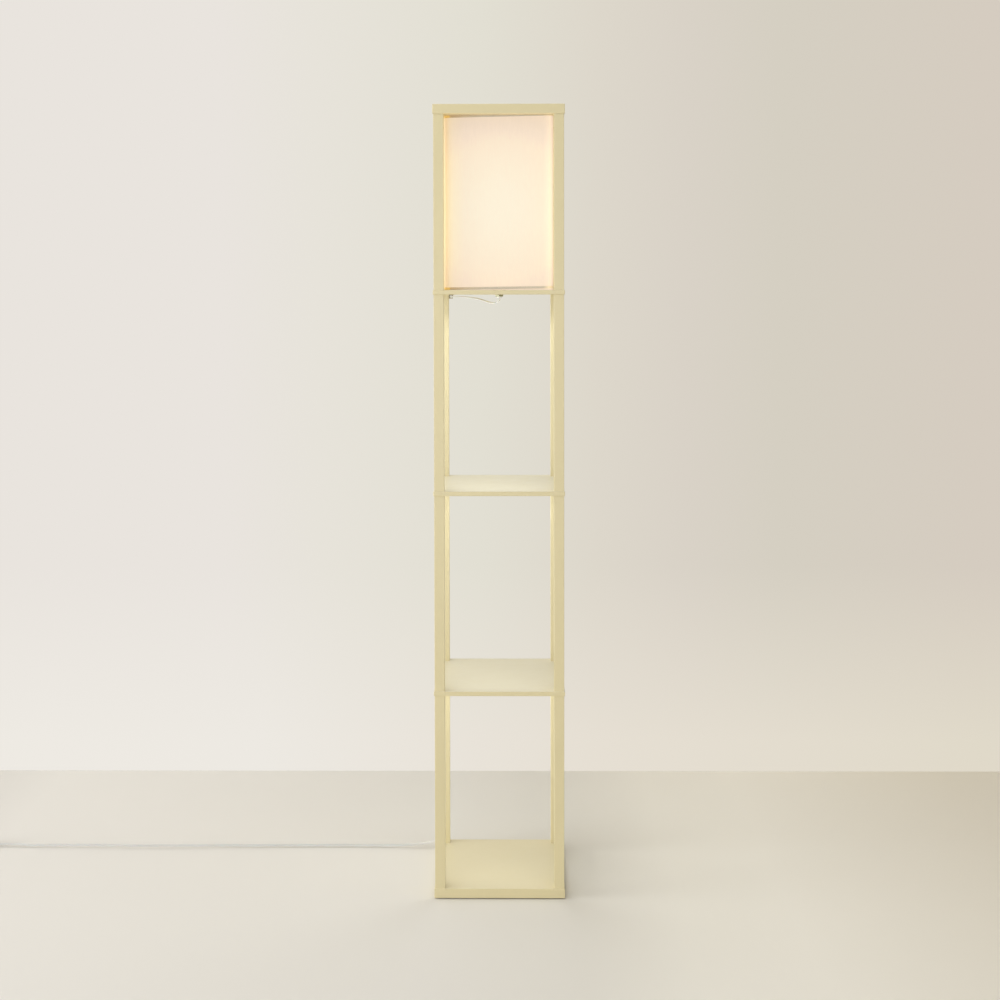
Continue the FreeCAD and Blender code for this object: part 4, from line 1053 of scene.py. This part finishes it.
def floor_painted_light_and_shade(tree):
    # Painted light and shade across the floor, on top of the lamps' own.
    return ramp(tree, along_span(tree, FLOOR_SPAN), *FLOOR)


def make_stage():
    """The floor and the wall behind, meeting in a plain line."""
    left, right = -STAGE_HALF, STAGE_HALF
    backdrop("studio_floor", [(left, -STAGE_HALF, 0), (right, -STAGE_HALF, 0),
                              (right, WALL_Y, 0), (left, WALL_Y, 0)], floor_painted_light_and_shade, True)
    backdrop("studio_wall", [(left, WALL_Y, 0), (right, WALL_Y, 0), (right, WALL_Y, WALL_TOP),
                             (left, WALL_Y, WALL_TOP)], painted_wall_light, False)


# (name, where it stands, what it faces, width, height, power)
LAMPS = (("low_left", (-3.5, -0.75, 0.70), (0.0, 0.0, 0.4), 1.7, 1.1, 54.0),
         ("front_wide", (-0.7, -3.0, 0.95), (0.0, 0.0, 0.7), 2.6, 1.8, 27.0),
         ("overhead", (-0.7, -0.6, 2.9), (0.0, -0.1, 0.0), 2.2, 2.2, 24.0))
WARM_WHITE = (1.0, 0.99, 0.97)
FILL_BLUE = (0.88, 0.95, 1.0)
SKY_BLUE = (0.92, 0.97, 1.0)
SHADE_AMBER = (1.0, 0.88, 0.66)
AIR = srgb(252, 250, 246)
AIR_STRENGTH = 0.45
FILL_Y = -0.1305
FILL_WIDTH = 0.17
SKY_SIZE = (0.17, 0.14)
SKY_POWER = 0.24
SHADE_GLOW_SIZE = (0.214, 0.340)
SHADE_GLOW = 0.18

# Each bay's floor and ceiling, the power of its fill, and how far its sky is below the ceiling:
# in the upper bay the sky hangs under the lead, which it would overexpose from above.
BAYS = (("lower", 0.021, 0.407, 0.10, 0.004), ("middle", 0.416, 0.805, 0.12, 0.004),
        ("upper", 0.814, 1.203, 0.20, 0.045))


def area_light(name, spot, target, width, height, power, colour=WARM_WHITE):
    """A lamp of width by height metres, turned to its target."""
    light = bpy.data.lights.new(name, "AREA")
    light.shape = "RECTANGLE"
    light.size = width
    light.size_y = height
    light.energy = power
    light.color = colour
    lamp = bpy.data.objects.new(name, light)
    lamp.location = spot
    lamp.rotation_euler = (Vector(target) - Vector(spot)).to_track_quat("-Z", "Y").to_euler()
    bpy.context.scene.collection.objects.link(lamp)
    return lamp


def unseen_light(name, spot, target, width, height, power, colour):
    """A lamp that lights the pieces near it, and isn't seen itself or in their gloss."""
    lamp = area_light(name, spot, target, width, height, power, colour)
    lamp.visible_camera = False
    lamp.visible_glossy = False


def make_lights():
    """Three broad lamps and the air light the lamp; small ones stand in for light shed nearby."""
    bpy.context.scene.view_settings.view_transform = "Standard"
    world = bpy.data.worlds.new("studio_air")
    bpy.context.scene.world = world
    world.use_nodes = True
    air = world.node_tree.nodes["Background"].inputs
    air["Color"].default_value = AIR
    air["Strength"].default_value = AIR_STRENGTH
    for lamp in LAMPS:
        area_light(*lamp)
    for name, low, high, power, drop in BAYS:
        middle = (low + high) / 2
        unseen_light(f"fill_{name}_bay", (0.0, FILL_Y, middle), (0.0, 1.0, middle), FILL_WIDTH,
                     high - low - 0.05, power, FILL_BLUE)
        unseen_light(f"sky_{name}_bay", (0.0, 0.035, high - drop), (0.0, 0.045, low), *SKY_SIZE,
                     SKY_POWER, SKY_BLUE)
    middle = (SHADE_BOTTOM + SHADE_TOP) / 2
    for side, name in enumerate(("front", "right", "rear", "left")):
        way = Vector((math.sin(side * math.pi / 2), -math.cos(side * math.pi / 2), 0.0))
        spot = way * (SHADE_HALF + MM) + Vector((0.0, 0.0, middle))
        unseen_light(f"glow_{name}", spot, spot + way, *SHADE_GLOW_SIZE, SHADE_GLOW, SHADE_AMBER)


# ---------------------------------------------------------------- everything in place


make_camera()
dress_nodes()
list(make_cords())
make_switch_trim()
make_plug()
make_shade()
make_nut()
make_bushing()
make_lamp_parts()
make_stage()
make_lights()
